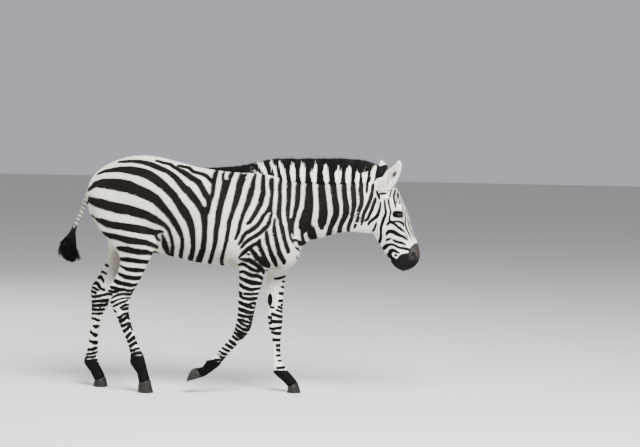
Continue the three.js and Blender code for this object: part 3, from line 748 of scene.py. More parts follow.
farForeStrokes = [
    [(330,628,4), (345,628,5), (362,633,5), (380,638,5), (400,641,6)],
    [(372,610,4), (392,610,4)],
    [(367,580,5), (386,580,5)],
    [(357,547,6), (375,543,7)],
    [(356,505,6), (380,505,6)],
    [(368,482,5), (382,482,5)],
    [(308,468,4), (325,468,4)],
    [(350,473,4), (365,465,4), (382,458,4)],
    [(342,455,4), (362,447,4), (382,440,4)],
    [(318,432,7), (345,424,7), (365,418,7), (382,414,7)],
    [(296,412,7), (310,412,7)],
    [(318,392,8), (350,391,8), (385,389,8)],
    [(298,381,5), (312,381,5)],
    [(305,352,5), (323,350,6), (349,356,6), (374,358,8)],
    [(318,331,5), (338,326,7), (374,325,8)],
    [(328,289,7), (361,289,7)],
    [(347,259,7), (377,259,7)],
    [(350,234,6), (380,228,6)],
    [(349,203,5), (373,205,5), (383,195,3)],
    [(357,175,3), (390,175,3)],
    [(352,135,5), (370,137,5), (392,140,5)],
]

# Bands on the outer side of the far legs, and round the backs of all four thighs and forearms.
outerBands = {
    "hind": [[(-720, z + 4, 7), (-660, z, 9), (-600, z - 2, 8), (-560, z + 6, 4)]
             for z in (672,628,588,548)],
    "fore": [[(300, z, 6), (340, z - 4, 8), (400, z + 2, 6)]
             for z in (668, 632, 598, 566, 534, 502, 470, 440)],
}
# Across the buttocks, measured (away from the middle, z).
rearStrokes = [
    [(38,1088,3), (62,1098,8), (96,1110,10), (150,1122,9)],
    [(34,1018,4), (62,1028,11), (100,1038,16), (150,1040,18)],
    [(28,948,3), (58,952,8), (100,948,8), (150,942,5)],
    [(30,884,3), (58,882,7), (100,872,6), (150,866,4)],
    [(58,812,3), (90,806,6), (140,798,4)],
]
# Across the breast, measured the same way.
breastStrokes = [
    [(0,884,5), (50,888,9), (110,884,6)],
    [(0,834,5), (56,846,10), (110,852,8)],
    [(0,786,4), (50,800,9), (104,812,8)],
    [(0,742,3), (46,756,7), (96,766,6)],
]
muzzleEdge = [(950, 742), (976, 752), (1008, 762), (1019, 778), (1030, 787), (1048, 793), (1070, 794),
              (1072, 812), (1086, 832), (1100, 846), (1160, 850)]


# How far inside the nearest dark stroke each point lies, in mm (below zero is white).
farOutside = -60.0
strokeMargin = 25


def strokeField(x, z, strokes):
    shape = x.shape
    x, z = x.ravel(), z.ravel()
    field = np.full(x.shape, farOutside)
    for stroke in strokes:
        run = np.array(stroke, float)
        reach = run[:, 2].max() + strokeMargin
        near = (x > run[:, 0].min() - reach) & (x < run[:, 0].max() + reach)
        near &= (z > run[:, 1].min() - reach) & (z < run[:, 1].max() + reach)
        index = np.nonzero(near)[0]
        if not len(index):
            continue
        px, pz = x[index], z[index]
        best = np.full(len(index), farOutside)
        for (ax, az, ah), (bx, bz, bh) in zip(run[:-1], run[1:]):
            dx, dz = bx - ax, bz - az
            t = np.clip(((px - ax) * dx + (pz - az) * dz) / (dx * dx + dz * dz), 0, 1)
            gap = np.hypot(px - ax - t * dx, pz - az - t * dz)
            np.maximum(best, ah + t * (bh - ah) - gap, out=best)
        field[index] = np.maximum(field[index], best)
    return field.reshape(shape)


# A field where it is allowed, and far outside elsewhere.
def only(allowed, field):
    return np.where(allowed, field, farOutside)


# How far below a line of (x, z) points each place lies; the line runs with growing x.
def belowLine(x, z, line):
    line = np.array(line, float)
    return np.interp(x, line[:, 0], line[:, 1]) - z


# Each ear's foot and its turns about x, y and z, in degrees.
earPlace = {
    "right": ((920, -62, 1122), (9, 30, -60)),
    "left": ((922, 60, 1128), (-37, -7, 60)),
}


def earFrame(side):
    turn = [math.radians(v) for v in earPlace[side][1]]
    return np.array(Matrix.Rotation(turn[0], 3, "X") @ Matrix.Rotation(turn[1], 3, "Y")
                    @ Matrix.Rotation(turn[2], 3, "Z"))


def earLocal(plan, side):
    return (plan - np.array(earPlace[side][0])) @ earFrame(side)


# Each stroke is drawn wider than its half widths say, by so many mm on each side.
strokeSpread = {"body": 4.2, "thigh": 1.8, "forelegs": 3.2, "hindlegs": 4.3, "farHind": 3.5,
                "head": 2.3}
# The left side's strokes are the right side's, waved a little (height, length, phase)
# and carried back or on to its own legs.
farSide = {"waveX": (6, 70, 1.3), "driftX": (4, 90), "waveZ": (5, 80, 0.7), "hindStep": 200,
           "foreStep": -120, "rearLift": 6, "breastLift": 5}
# Where one set of markings gives way to the next, in mm, or as a part of the normal.
zones.update({
    "farSide": (0, 60), "inward": (0.0, 0.6), "legs": (800, 740), "head": (800, 880),
    "hindStep": (850, 660), "foreStep": (800, 660), "thighBack": (-250, -320), "thighUp": (980, 900),
    "groin": (820, 760), "innerLeg": (420, 650), "outward": (0.1, 0.6), "outerLow": (430, 520),
    "outerHigh": (720, 690), "upperStrokes": (700, 665),
    "rearFacing": (-0.8, -0.93), "rearBack": (-560, -600), "rearUp": (660, 700),
    "breastFacing": (0.75, 0.9), "breastAhead": (380, 420), "breastTop": (905, 880), "breastFoot": (690, 720),
    "tailBack": (-678, -690), "tailRoot": (1080, 1105),
    "blackLegs": (860, 700), "blackHead": (840, 900), "blackFace": (1060, 1000),
    "noseAhead": (1064, 1088), "noseUp": (744, 790), "noseHole": (9, 18), "muzzleEdge": (-4, 6),
})
# Legs: level of their strokes, the belly's gathering, chestnuts and the dark feet.
legMarks = {
    "top": 790, "bellySpan": (-270, 165), "bellyGather": 0.70, "innerFade": 14,
    "hindTo": -300, "foreFrom": 200, "legAside": 20, "chestnutSpan": (150, 420), "chestnutFacing": 0.3,
    "nearChestnut": (196, 500), "farChestnut": (303, 510), "chestnutSize": (15, 36), "chestnutReach": 18,
    "nearForeFoot": 188, "footSlope": (30, 1.2), "nearHindFoot": 204, "farForeFoot": 121,
    "farHindFoot": 140, "footWaves": 9, "footWave": 3, "footMiddles": (200, -550), "footTop": 260,
}
# The lines along the back and under the belly: half width, where from and to, and least facing.
lineMarks = {"spine": (6.5, -640, 300, 0.5), "belly": (8, -230, 240, 0.6), "bellyWave": (3, 60)}
# The eye patch, the patch between the ears and the lines down the front of the face.
faceMarks = {
    "eyeMiddle": (1010, 1005), "eyeSize": (29, 20.5), "eyeSquare": 2.8, "eyeReach": 16,
    "poll": (962, 1200, 26), "pollSpread": (0.9, 0.4), "pollAside": 34,
    "lineGap": 13, "lineHalf": 3.3, "closeness": (1.25, -0.5, 0.6), "closer": (60, 200),
    "wider": (260, 400), "lineFoot": (330, 420), "lineTop": (50, 20), "lineEnds": 6,
    "frontal": (0.6, 0.40), "sideFade": 3, "clearOfStrokes": -5,
}
tailMarks = {"tick": 6.4, "gap": 26, "across": 0.35, "slope": 0.5, "taper": 1.2, "switchTop": 872,
             "cut": (0.43, -268), "outside": -9, "rootFade": 14}
earSlit = [(968, 1190, 4), (976, 1203, 9), (986, 1219, 11), (994, 1235, 6)]
# Bands across the ears, and the dark of their openings, which is painted shade in the ears' hollows, in mm up
# the ear.
earMarks = {
    "start": 10, "band": (132, 20), "bandTop": 160, "tipBand": (148, 11), "innerBand": 0.6, "white": -8,
    "outside": -9, "opening": (0.1, 0.6), "slitAcross": (-6, 8), "slitFoot": (30, 60), "slitTop": (165, 120),
    "farSlit": 0.45, "always": 0.10, "outer": (-0.2, 0.5), "canal": (-6, 6), "canalFacing": (-0.6, -0.3),
    "dim": (0.10, 0.22), "dimFoot": (120, 40),
}
# Painted shade, soft grey: round spots of shadow (strength, x, z, reach, near side only) behind the elbow,
# under the belly and chest, about the ears' feet and on the near hind leg, and the shadows in the flank and
# breast folds (strength, reach, line).
shadowSpots = [
    (0.60, 120, 718, 40, False), (0.45, 45, 742, 42, False), (0.35, 365, 722, 45, False),
    (0.55, 923, 1158, 12, True), (0.40, -510, 452, 15, True), (0.25, 935, 1180, 22, True),
    (0.25, 957, 1131, 9, False),
]
flankFoldShade = (0.95, 17, [(-262, 868), (-250, 825), (-243, 775)])
breastFoldShade = (0.40, 13, [(285, 698), (330, 690), (372, 698)])
# Painted shade under the body and on the inner sides of the legs, deeper on the far hind thigh; and grey on
# the front of the forehead for its fine blurred stripes.
softZones = {
    "under": 0.20, "underFacing": (0.2, 0.9), "underUp": (900, 760),
    "nearInner": 0.3, "farInner": (0.35, 0.6), "farThigh": (-620, -560), "innerUp": (540, 640),
    "forehead": 0.28, "foreheadFacing": (0.35, 0.8), "foreheadFoot": (840, 880), "foreheadTop": (1180, 1140),
}


# Places and directions that several sets of markings share.
def lookAt(plan, normals):
    p = SimpleNamespace(plan=plan, normals=normals)
    p.x, p.y, p.z = plan.T
    p.nx, p.ny, p.nz = normals.T
    p.near = p.y < 0
    p.aside = np.abs(p.y)
    p.swing = zone("farSide", p.y)
    p.inward = zone("inward", np.where(p.near, p.ny, -p.ny))
    p.legZone = zone("legs", p.z)
    p.frontal = normals @ np.array([math.cos(headLean), 0, math.sin(headLean)])
    p.flat = np.stack([p.x, p.z], 1)
    return p


def legField(p, upper):
    x, z = p.x, p.z
    right = np.maximum(strokeField(x, z, nearForeStrokes), strokeField(x, z, nearHindStrokes))
    left = np.maximum(strokeField(x, z, farForeStrokes), strokeField(x, z, farHindStrokes))
    outward = zone("outward", p.ny) * zone("outerLow", z) * zone("outerHigh", z)
    bands = strokeField(x, z, outerBands["hind"] + outerBands["fore"])
    left = left * (1 - outward) + bands * outward
    upper = upper + farOutside * (zone("upperStrokes", z) + (x < legMarks["hindTo"]) * p.inward)
    left = np.maximum(left, upper)
    hind = np.where(p.near, strokeSpread["hindlegs"], strokeSpread["farHind"])
    return np.where(p.near, right, left) + np.where(x < 0, hind, strokeSpread["forelegs"])


def chestnutField(p):
    s = named(legMarks)
    (nearX, nearZ), (farX, farZ), (halfX, halfZ) = s.nearChestnut, s.farChestnut, s.chestnutSize
    middleX, middleZ = np.where(p.near, nearX, farX), np.where(p.near, nearZ, farZ)
    away = np.hypot((p.x - middleX) / halfX, (p.z - middleZ) / halfZ)
    onForeleg = (p.aside > s.legAside) & between(p.x, *s.chestnutSpan) & (p.inward > s.chestnutFacing)
    return only(onForeleg, (1 - away) * s.chestnutReach)


def footField(p):
    s = named(legMarks)
    nearFore = s.nearForeFoot - np.maximum(0, p.x - s.footSlope[0]) * s.footSlope[1]
    near = np.where(p.x > -200, nearFore, s.nearHindFoot)
    far = np.where(p.x > -200, s.farForeFoot, s.farHindFoot)
    around = np.arctan2(p.y, p.x - np.where(p.x > 0, *s.footMiddles))
    foot = np.where(p.near, near, far) - p.z + s.footWave * np.sin(around * s.footWaves)
    return only(p.z < s.footTop, np.clip(foot, farOutside, 20))


# Trunk, neck and legs, with the bands round the buttocks and the breast, and the lines above and below.
def bodyField(p, farX, farZ, head):
    x, z, near = p.x, p.z, p.near
    hindShift = farSide["hindStep"] * zone("hindStep", z) * p.swing * (x < legMarks["hindTo"])
    foreShift = farSide["foreStep"] * zone("foreStep", z) * p.swing * (x > legMarks["foreFrom"])
    bodyX, bodyZ = farX + hindShift + foreShift, farZ
    top = legMarks["top"]
    belly = between(x, *legMarks["bellySpan"]) & (z < top)
    bodyZ = np.where(belly, top - (top - bodyZ) * legMarks["bellyGather"], bodyZ)
    thigh = strokeSpread["thigh"] * zone("thighBack", x) * zone("thighUp", z)
    groin = p.inward * zone("groin", z) * (p.aside > legMarks["legAside"])
    field = strokeField(bodyX, bodyZ, bodyStrokes) + strokeSpread["body"] + thigh + farOutside * groin
    field = np.maximum(field, head + strokeSpread["head"])
    upper = strokeField(bodyX, bodyZ, nearForeStrokes[:4] + nearHindStrokes[:2])
    field = np.where(z < top, np.maximum(field, legField(p, upper)), field)
    # inner sides of the upper legs are pale
    field = field - p.inward * zone("innerLeg", z) * p.legZone * legMarks["innerFade"] * near
    behind = zone("rearFacing", p.nx) * zone("rearBack", x) * zone("rearUp", z)
    rear = strokeField(p.aside, z + farSide["rearLift"] * p.swing, rearStrokes)
    field = field * (1 - behind) + rear * behind
    front = zone("breastFacing", p.nx) * zone("breastAhead", x)
    front = front * zone("breastTop", z) * zone("breastFoot", z)
    breast = strokeField(p.aside, z + farSide["breastLift"] * p.swing, breastStrokes)
    field = field * (1 - front) + breast * front
    half, *span, facing = lineMarks["spine"]
    spine = only(between(x, *span) & (p.nz > facing), half - p.aside)
    wave, length = lineMarks["bellyWave"]
    half, *span, facing = lineMarks["belly"]
    under = half - np.abs(p.y + wave * np.sin(x / length))
    under = only(between(x, *span) & (p.nz < -facing), under)
    field = np.maximum(field, np.maximum(spine, under))
    return np.maximum(field, footField(p))


def eyeField(p):
    s = named(faceMarks)
    across = np.abs((p.x - s.eyeMiddle[0]) / s.eyeSize[0]) ** s.eyeSquare
    upward = np.abs((p.z - s.eyeMiddle[1]) / s.eyeSize[1]) ** s.eyeSquare
    eye = 1 - (across + upward) ** (1 / s.eyeSquare)
    onHeadSide = (zone("head", p.x) > 0.5) & (p.aside > 50)
    return only(onHeadSide, eye * s.eyeReach)


# Narrow lines down the front of the face.
def frontLines(p, head):
    s = named(faceMarks)
    down = headAxes(p.x, p.z)[0]
    full, closer, wider = s.closeness
    closeness = full + closer * fade(*s.closer, down) + wider * fade(*s.wider, down)
    lines = s.lineHalf - np.abs(p.aside * closeness % s.lineGap - s.lineGap / 2)
    lines = lines - s.lineEnds * (fade(*s.lineFoot, down) + fade(*s.lineTop, down))
    lines = lines - s.sideFade * fade(*s.frontal, p.frontal)
    onFront = (p.frontal > s.frontal[1]) & (p.x > faceFrom) & (p.z > 780) & (head <= s.clearOfStrokes)
    return only(onFront, lines)


def tailField(p):
    s = named(tailMarks)
    level = p.z - s.across * p.aside + s.slope * p.x
    ticks = s.tick - np.abs(level % s.gap - s.gap / 2) * s.taper
    ticks = np.where(p.x + s.cut[0] * p.z < s.cut[1], ticks, s.outside)
    ticks = ticks - s.rootFade * zone("tailRoot", p.z)
    return np.maximum(s.switchTop - p.z, ticks)


# Painted shade: under the body, in spots and folds where shadow falls, and on the inner sides of the legs;
# with grey on the front of the forehead.
def paintedShadeAndGrey(p):
    s, x, z = named(softZones), p.x, p.z
    dim = s.under * fade(*s.underFacing, -p.nz) * fade(*s.underUp, z)
    for strength, spotX, spotZ, reach, nearOnly in shadowSpots:
        spot = strength * np.exp(-(np.hypot(x - spotX, z - spotZ) / reach) ** 2)
        dim += spot * (p.near if nearOnly else 1)
    for (strength, reach, line), there in ((flankFoldShade, p.aside > 60), (breastFoldShade, 1)):
        dim += strength * np.exp(-(awayFrom(p.flat, line) / reach) ** 2) * there
    farInner = s.farInner[0] + s.farInner[1] * fade(*s.farThigh, x) * (x < 0)
    dim += np.where(p.near, s.nearInner, farInner) * p.inward * fade(*s.innerUp, z) * p.legZone
    brow = fade(*s.foreheadFoot, z) * fade(*s.foreheadTop, z) * (x > faceFrom)
    dim += s.forehead * fade(*s.foreheadFacing, p.frontal) * brow
    return dim


# One ear's bands, how dark its opening is (painted shade in its hollow), and where the ear is.
def earField(p, name, side):
    s = named(earMarks)
    local = earLocal(p.plan, name)
    along = local[:, 2]
    isEar = earShare(p.plan) * (p.y * side > 0) * (along > s.start)
    facing = unit(p.normals) @ earFrame(name)
    opening = fade(*s.opening, facing[:, 0])
    toward = math.copysign(1, earFrame(name)[0, 1])
    slit = fade(*s.slitAcross, local[:, 1] * toward) * fade(*s.slitFoot, along) * fade(*s.slitTop, along)
    opening = opening * (s.farSlit * slit * (side > 0) + s.always)
    band = np.where(along > s.bandTop, s.white, s.band[1] - np.abs(along - s.band[0]))
    if side > 0:
        behind = fade(*s.outer, -facing[:, 0]) > 0.4
        tipBand = s.tipBand[1] - np.abs(along - s.tipBand[0])
        bands = np.maximum(np.where(behind, band, s.outside), tipBand)
    else:
        bands = np.where(p.ny > 0.35, band * s.innerBand, s.outside)
        canal = fade(*s.canal, strokeField(p.x, p.z, [earSlit]))
        opening = np.maximum(opening, canal * fade(*s.canalFacing, facing[:, 0]))
    grey = s.dim[0] + s.dim[1] * fade(*s.dimFoot, along)
    return bands, isEar * opening, grey, isEar > 0.5


# Every marking at each point: stripe (mm inside a dark stroke), black, muzzle, nose, dim (painted shade, with
# grey on the ears and the forehead) and the painted shade inside the ears.
def markings(plan, normals):
    p = lookAt(plan, normals)
    x, y, z = p.x, p.y, p.z
    height, length, phase = farSide["waveX"]
    drift, driftLength = farSide["driftX"]
    farX = x + p.swing * (height * np.sin(z / length + phase) + drift * np.sin(x / driftLength))
    height, length, phase = farSide["waveZ"]
    farZ = z + p.swing * height * np.sin(x / length + phase)
    head = strokeField(farX, farZ, headStrokes)
    field = bodyField(p, farX, farZ, head)
    eye = eyeField(p)
    muzzle = only((x > faceFrom) & (z < 900), belowLine(x, z, muzzleEdge))
    pollX, pollZ, pollReach = faceMarks["poll"]
    outwards, aside = faceMarks["pollSpread"]
    poll = pollReach - np.hypot(x - pollX, z - pollZ) * outwards - p.aside * aside
    poll = only((p.aside < faceMarks["pollAside"]) & (x > 900), poll)
    for more in (frontLines(p, head), eye, poll, muzzle, chestnutField(p)):
        field = np.maximum(field, more)
    tail = zone("tailBack", x) * (z > 800) * (p.aside < 36)
    field = field * (1 - tail) + tailField(p) * tail
    # Stripes are black on the legs, lower body and face, and brown higher up: partly their own colour, partly
    # painted light, with the top of the body painted lighter.
    black = np.maximum(zone("blackLegs", z), zone("blackHead", x) * zone("blackFace", z))
    black = np.maximum(black, np.where(eye > -1, 1, 0))
    dim = paintedShadeAndGrey(p)
    inEar = np.zeros(len(x))
    for name, side in sides:
        bands, opening, grey, isEar = earField(p, name, side)
        dim = np.where(isEar, 0.5 * dim + grey, dim)
        field = np.where(isEar, bands, field)
        inEar = np.maximum(inEar, opening)
    nose = zone("noseAhead", x) * zone("noseUp", z)
    nose = nose * zone("noseHole", awayFrom(mirrored(x, y, z), nostrilLine))
    return {"stripe": field, "black": black, "muzzle": zone("muzzleEdge", muzzle),
            "nose": nose, "dim": np.clip(dim, 0, 1), "inEar": inEar}


# The coat's material, the same on the skin and on every tuft.
coatLook = {
    # The grey-brown that the white turns to stands for dirt and for painted shade.
    "white": (0.92, 0.88, 0.81), "soiled": (0.30, 0.265, 0.22),
    # The brown of the upper stripes is partly their own colour, partly painted light from above.
    "brown": (0.011, 0.0088, 0.0072), "black": (0.003, 0.0027, 0.0025),
    "muzzle": (0.008, 0.007, 0.007), "nose": (0.052, 0.045, 0.041), "muzzlePatches": (0.7, 0.7, 0.7),
    # inner darkens the ears' hollows: painted shade.
    "inner": (0.03, 0.025, 0.022), "roughness": 0.62, "edge": 1.3, "ragged": 2.6, "gloss": 0.08,
    "grain": (260, 900, 420), "grainTurn": 0.35, "patchScale": 34.0, "broadScale": 5.0,
    "soiling": 0.10, "dimming": 0.9, "darkerBrown": 0.72, "skinShade": (0.88, 1.05), "tuftShade": 0.97,
    "bump": (0.55, 0.0012),
}


class Graph:
    def __init__(self, name):
        self.material = bpy.data.materials.new(name)
        self.material.use_nodes = True
        self.nodes = self.material.node_tree.nodes
        self.links = self.material.node_tree.links
        self.shader = self.nodes["Principled BSDF"]

    def add(self, kind):
        return self.nodes.new("ShaderNode" + kind)

    def put(self, target, value):
        if hasattr(value, "is_output"):
            self.links.new(value, target)
        elif isinstance(value, tuple) and len(value) == 3 and target.type == "RGBA":
            target.default_value = (*value, 1)
        else:
            target.default_value = value

    def fill(self, node, values):
        for name, value in values.items():
            self.put(node.inputs[name], value)

    def attribute(self, name):
        node = self.add("Attribute")
        node.attribute_name = name
        return node.outputs["Fac"]

    def place(self, scale=(1, 1, 1), turn=(0, 0, 0)):
        coord = self.add("TexCoord")
        mapping = self.add("Mapping")
        self.fill(mapping, {"Vector": coord.outputs["Object"], "Scale": scale, "Rotation": turn})
        return mapping.outputs["Vector"]

    def noise(self, vector, scale, detail=2.0, roughness=0.5):
        node = self.add("TexNoise")
        self.fill(node, {"Vector": vector, "Scale": scale, "Detail": detail, "Roughness": roughness})
        return node.outputs["Fac"]

    def math(self, operation, a, b=0.0, c=0.0, clamp=False):
        node = self.add("Math")
        node.operation = operation
        node.use_clamp = clamp
        for socket, value in zip(node.inputs, (a, b, c)):
            self.put(socket, value)
        return node.outputs[0]

    def ramp(self, value, low, high, outLow=0.0, outHigh=1.0):
        node = self.add("MapRange")
        node.interpolation_type = "SMOOTHSTEP"
        self.fill(node, {"Value": value, "From Min": low, "From Max": high,
                         "To Min": outLow, "To Max": outHigh})
        return node.outputs[0]

    def mix(self, factor, a, b, blend="MIX"):
        node = self.add("Mix")
        node.data_type = "RGBA"
        node.blend_type = blend
        self.put(node.inputs["Factor"], factor)
        self.put(node.inputs[6], a)
        self.put(node.inputs[7], b)
        return node.outputs[2]

    def bump(self, height, strength, distance):
        node = self.add("Bump")
        self.fill(node, {"Strength": strength, "Distance": distance, "Height": height})
        self.links.new(node.outputs["Normal"], self.shader.inputs["Normal"])

    def finish(self, colour, roughness, gloss):
        self.fill(self.shader, {"Base Color": colour, "Roughness": roughness, "Specular IOR Level": gloss})


def darker(colour, share):
    return tuple(share * v for v in colour)


def coatMaterial(name, isSkin, tuftSpread=0.09):
    s = named(coatLook)
    g = Graph(name)
    fine = g.noise(g.place(s.grain, (0, s.grainTurn, 0)), 1.0, 3.0, 0.6)
    patchy = g.noise(g.place(), s.patchScale, 3.0, 0.6)
    broad = g.noise(g.place(), s.broadScale, 2.0, 0.5)
    ragged = g.math("MULTIPLY", g.math("SUBTRACT", fine, 0.5), s.ragged)
    reach = g.math("ADD", g.attribute("stripe"), ragged)
    dark = g.ramp(reach, -s.edge, s.edge)
    # Dirt in random patches, plus the painted shade that dim carries, turn the white towards one grey-brown.
    soilAndShade = g.math("MULTIPLY", g.ramp(patchy, 0.42, 0.72), s.soiling)
    soilAndShade = g.math("ADD", soilAndShade, g.math("MULTIPLY", g.attribute("dim"), s.dimming), clamp=True)
    white = g.mix(soilAndShade, s.white, s.soiled)
    # The upper stripes' brown, partly painted light from above, varies at random.
    brown = g.mix(g.ramp(broad, 0.35, 0.68), s.brown, darker(s.brown, s.darkerBrown))
    colour = g.mix(dark, white, g.mix(g.attribute("black"), brown, s.black))
    muzzle = g.mix(g.attribute("nose"), s.muzzle, s.nose)
    muzzle = g.mix(g.ramp(patchy, 0.3, 0.7), muzzle, s.muzzlePatches, "MULTIPLY")
    colour = g.mix(g.attribute("muzzle"), colour, muzzle)
    # Painted shade in the ears' hollows.
    colour = g.mix(g.attribute("inEar"), colour, s.inner, "MULTIPLY")
    if isSkin:
        shade = g.ramp(fine, 0.25, 0.75, *s.skinShade)
        g.bump(fine, *s.bump)
    else:
        shade = g.math("MULTIPLY_ADD", g.attribute("shade"), tuftSpread, s.tuftShade)
    tint = g.add("CombineColor")
    for socket in tint.inputs:
        g.put(socket, shade)
    g.finish(g.mix(1.0, colour, tint.outputs[0], "MULTIPLY"), s.roughness, s.gloss)
    return g.material


skinLook = coatMaterial("zebra_skin", True)
for name, values in markings(toPlan(readCo(skin.data)), readNormals(skin.data)).items():
    storeFloat(skin.data, name, values)
dress(skin, skinLook)
say("markings painted")


# Hair: many tapered three-sided spikes or locks joined as one mesh.
# Paths are (hair, ring, xyz) in mm, widths and flats (hair, ring) half sizes across and out.
hairSettings = {"turns": (90, 210, 330), "patchAcross": 0.0014, "patchFlat": 0.4, "patchHalfLength": 0.0013,
                "margin": 0.004}


def joinHairs(name, paths, widths, flats, normals, facts, uv):
    s = named(hairSettings)
    count, rings = paths.shape[:2]
    run = unit(np.gradient(paths, axis=1))
    side = unit(np.cross(normals[:, None, :], run))
    up = np.cross(run, side)
    turns = np.radians(s.turns)
    across, out = np.cos(turns)[None, None, :, None], np.sin(turns)[None, None, :, None]
    body = (paths[:, :-1, None] + side[:, :-1, None] * across * widths[:, :-1, None, None]
            + up[:, :-1, None] * out * flats[:, :-1, None, None])
    perHair = 3 * (rings - 1) + 1
    points = np.concatenate([body.reshape(count, -1, 3), paths[:, -1:]], axis=1)
    faces = [(2, 1, 0)]
    for ring in range(rings - 2):
        for j in range(3):
            a, b = 3 * ring + j, 3 * ring + (j + 1) % 3
            faces += [(a, b, b + 3), (a, b + 3, a + 3)]
    last = 3 * (rings - 2)
    faces += [(last + j, last + (j + 1) % 3, perHair - 1) for j in range(3)]
    faces = (np.array(faces)[None] + perHair * np.arange(count)[:, None, None]).reshape(-1, 3)
    mesh = bpy.data.meshes.new(name)
    mesh.vertices.add(count * perHair)
    mesh.loops.add(faces.size)
    mesh.polygons.add(len(faces))
    mesh.loops.foreach_set("vertex_index", faces.ravel().astype(np.int32))
    mesh.polygons.foreach_set("loop_start", np.arange(0, faces.size, 3, dtype=np.int32))
    writeCo(mesh, fromPlan(points.reshape(-1, 3)))
    mesh.update(calc_edges=True)
    mesh.validate()
    for fact, values in facts.items():
        values = np.asarray(values, float)
        if values.ndim == 1:
            values = np.repeat(values[:, None], rings, 1)
        perPoint = np.concatenate([np.repeat(values[:, :-1], 3, axis=1), values[:, -1:]], axis=1)
        storeFloat(mesh, fact, perPoint.ravel())
    spread = np.stack([np.cos(turns), s.patchFlat * np.sin(turns)], 1) * s.patchAcross
    ringUv = (uv[:, :-1, None] + spread[None, None]).reshape(count, -1, 2)
    perPoint = np.concatenate([ringUv, uv[:, -1:]], axis=1).reshape(-1, 2)
    layer = mesh.uv_layers.new(name="OFBake")
    layer.data.foreach_set("uv", np.ascontiguousarray(perPoint[faces.ravel()], np.float32).ravel())
    made = newObject(name, mesh)
    shadeSmooth(made)
    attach(made, "root")
    return made


# A patch of OFBake about 0.003 long at each root's place.
def rootPatches(place):
    place = hairSettings["margin"] + (1 - 2 * hairSettings["margin"]) * np.clip(place, 0, 1)
    half = np.array([0, hairSettings["patchHalfLength"]])
    return np.stack([place - half, place + half], axis=1)


# The coat: short tufts over the skin. For each part: length, half width, half thickness and area for
# each tuft in mm, rise off the skin in degrees, and how deep the root is sunk.
coatSettings = {
    "trunk": {"length": 15, "width": 1.5, "flat": 0.42, "area": 17.0, "rise": 8.0, "sunk": 0.5},
    "neck": {"length": 15, "width": 1.4, "flat": 0.42, "area": 14.0, "rise": 9.0, "sunk": 0.5},
    "head": {"length": 6.5, "width": 0.8, "flat": 0.26, "area": 7.5, "rise": 9.0, "sunk": 0.3},
    "legs": {"length": 7.5, "width": 0.95, "flat": 0.28, "area": 8.5, "rise": 8.0, "sunk": 0.3},
    "ears": {"length": 9, "width": 0.8, "flat": 0.24, "area": 5.5, "rise": 10.0, "sunk": 0.2},
    "tail": {"length": 17, "width": 1.1, "flat": 0.4, "area": 7.0, "rise": 9.0, "sunk": 0.3},
    "randomSeed": 11, "spread": 10.0, "lengthSpread": 0.25, "riseSpread": (0.6, 1.5),
    "sizeSpread": (0.8, 1.25), "seenAt": 0.62, "ragged": 0.9, "fineRagged": 0.45, "insideEar": 0.75,
    "lidMargin": 2.2, "lidAside": 60, "lidFrom": 960, "lipMargin": 3.5, "nostrilMargin": 12,
    "hoofEdge": 56, "hoofTo": 120,
}
# The trunk's coat is in three pieces, to keep each one light.
trunkPieces = ("chest", "barrel", "rump")
legPieces = ("forelegs", "hindlegs")
coatNodes = {
    "trunk": ["trunk"], "neck": ["neck"], "head": ["head"], "tail": ["tail"],
    "ears": ["ear_right", "ear_left"],
    "forelegs": [n for n in fleshNodes if n.startswith("foreleg")],
    "hindlegs": [n for n in fleshNodes if n.startswith("hindleg")],
}
# Tuft length along a part, as a share: at its start, the change, and from and to which mm.
lengthFades = {"head": (1.35, -0.6, 260, 470), "neck": (1, -0.45, 680, 820), "legs": (0.75, 0.7, 420, 740)}
# The hair's direction on each part, and where it takes over from the part before.
lieSettings = {
    "trunk": (-1, 0, -0.30), "trunkDrop": (0.25, 1150, 900),
    "neck": (-0.72, 0, -0.70), "neckAhead": (380, 560),
    "rump": (-0.35, 0, -0.95), "rumpBack": (-440, -620),
    "breast": (0, 0, -1.0), "breastAhead": (420, 500), "breastDown": (900, 820),
    "leg": (-0.12, 0, -1.0), "legDown": (800, 700),
    "faceAhead": (850, 930), "jaw": (-0.45, 0, 0), "jawBack": (60, -60), "tail": (-0.42, 0, -0.9),
}
# Each part's place on the unwrap: where it starts, its length, and its middle to wind round, in mm.
unwrapSettings = {
    "trunk": (-700, 1160, 960), "neck": (430, 480), "neckMiddle": ([440, 620, 900], [960, 1010, 1050]),
    "head": (-80, 620, -20), "legs": 760, "legLevel": 20, "legLevels": 40, "ears": 215,
    "tail": (1150, 360), "tailMiddle": (-740, 0.45, 950),
}


# Where the coat's pieces meet, in mm on the plan.
partEdges = {
    "chestFrom": 130, "barrelFrom": -230, "neckFrom": 440, "neckOver": 800,
    "headFrom": 842, "headLevel": 1040, "headSlope": 0.1, "headOver": 700,
    "legTop": 745, "foreFrom": 60, "foreTo": 520, "foreAside": 12, "hindTo": -270, "hindAside": 8,
    "tailTo": -672, "tailOver": 790, "tailAside": 34,
}


# Which part of the coat each place belongs to.
def coatPart(plan):
    s = named(partEdges)
    x, y, z = plan.T
    aside = np.abs(y)
    part = np.where(x > s.chestFrom, "chest", np.where(x > s.barrelFrom, "barrel", "rump")).astype("U10")
    part[(x > s.neckFrom) & (z > s.neckOver)] = "neck"
    part[(x > s.headFrom + (s.headLevel - z) * s.headSlope) & (z > s.headOver)] = "head"
    part[(z < s.legTop) & (x > s.foreFrom) & (x < s.foreTo) & (aside > s.foreAside)] = "forelegs"
    part[(z < s.legTop) & (x < s.hindTo) & (aside > s.hindAside)] = "hindlegs"
    part[(x < s.tailTo) & (z > s.tailOver) & (aside < s.tailAside)] = "tail"
    part[earShare(plan) > 0.5] = "ears"
    return part


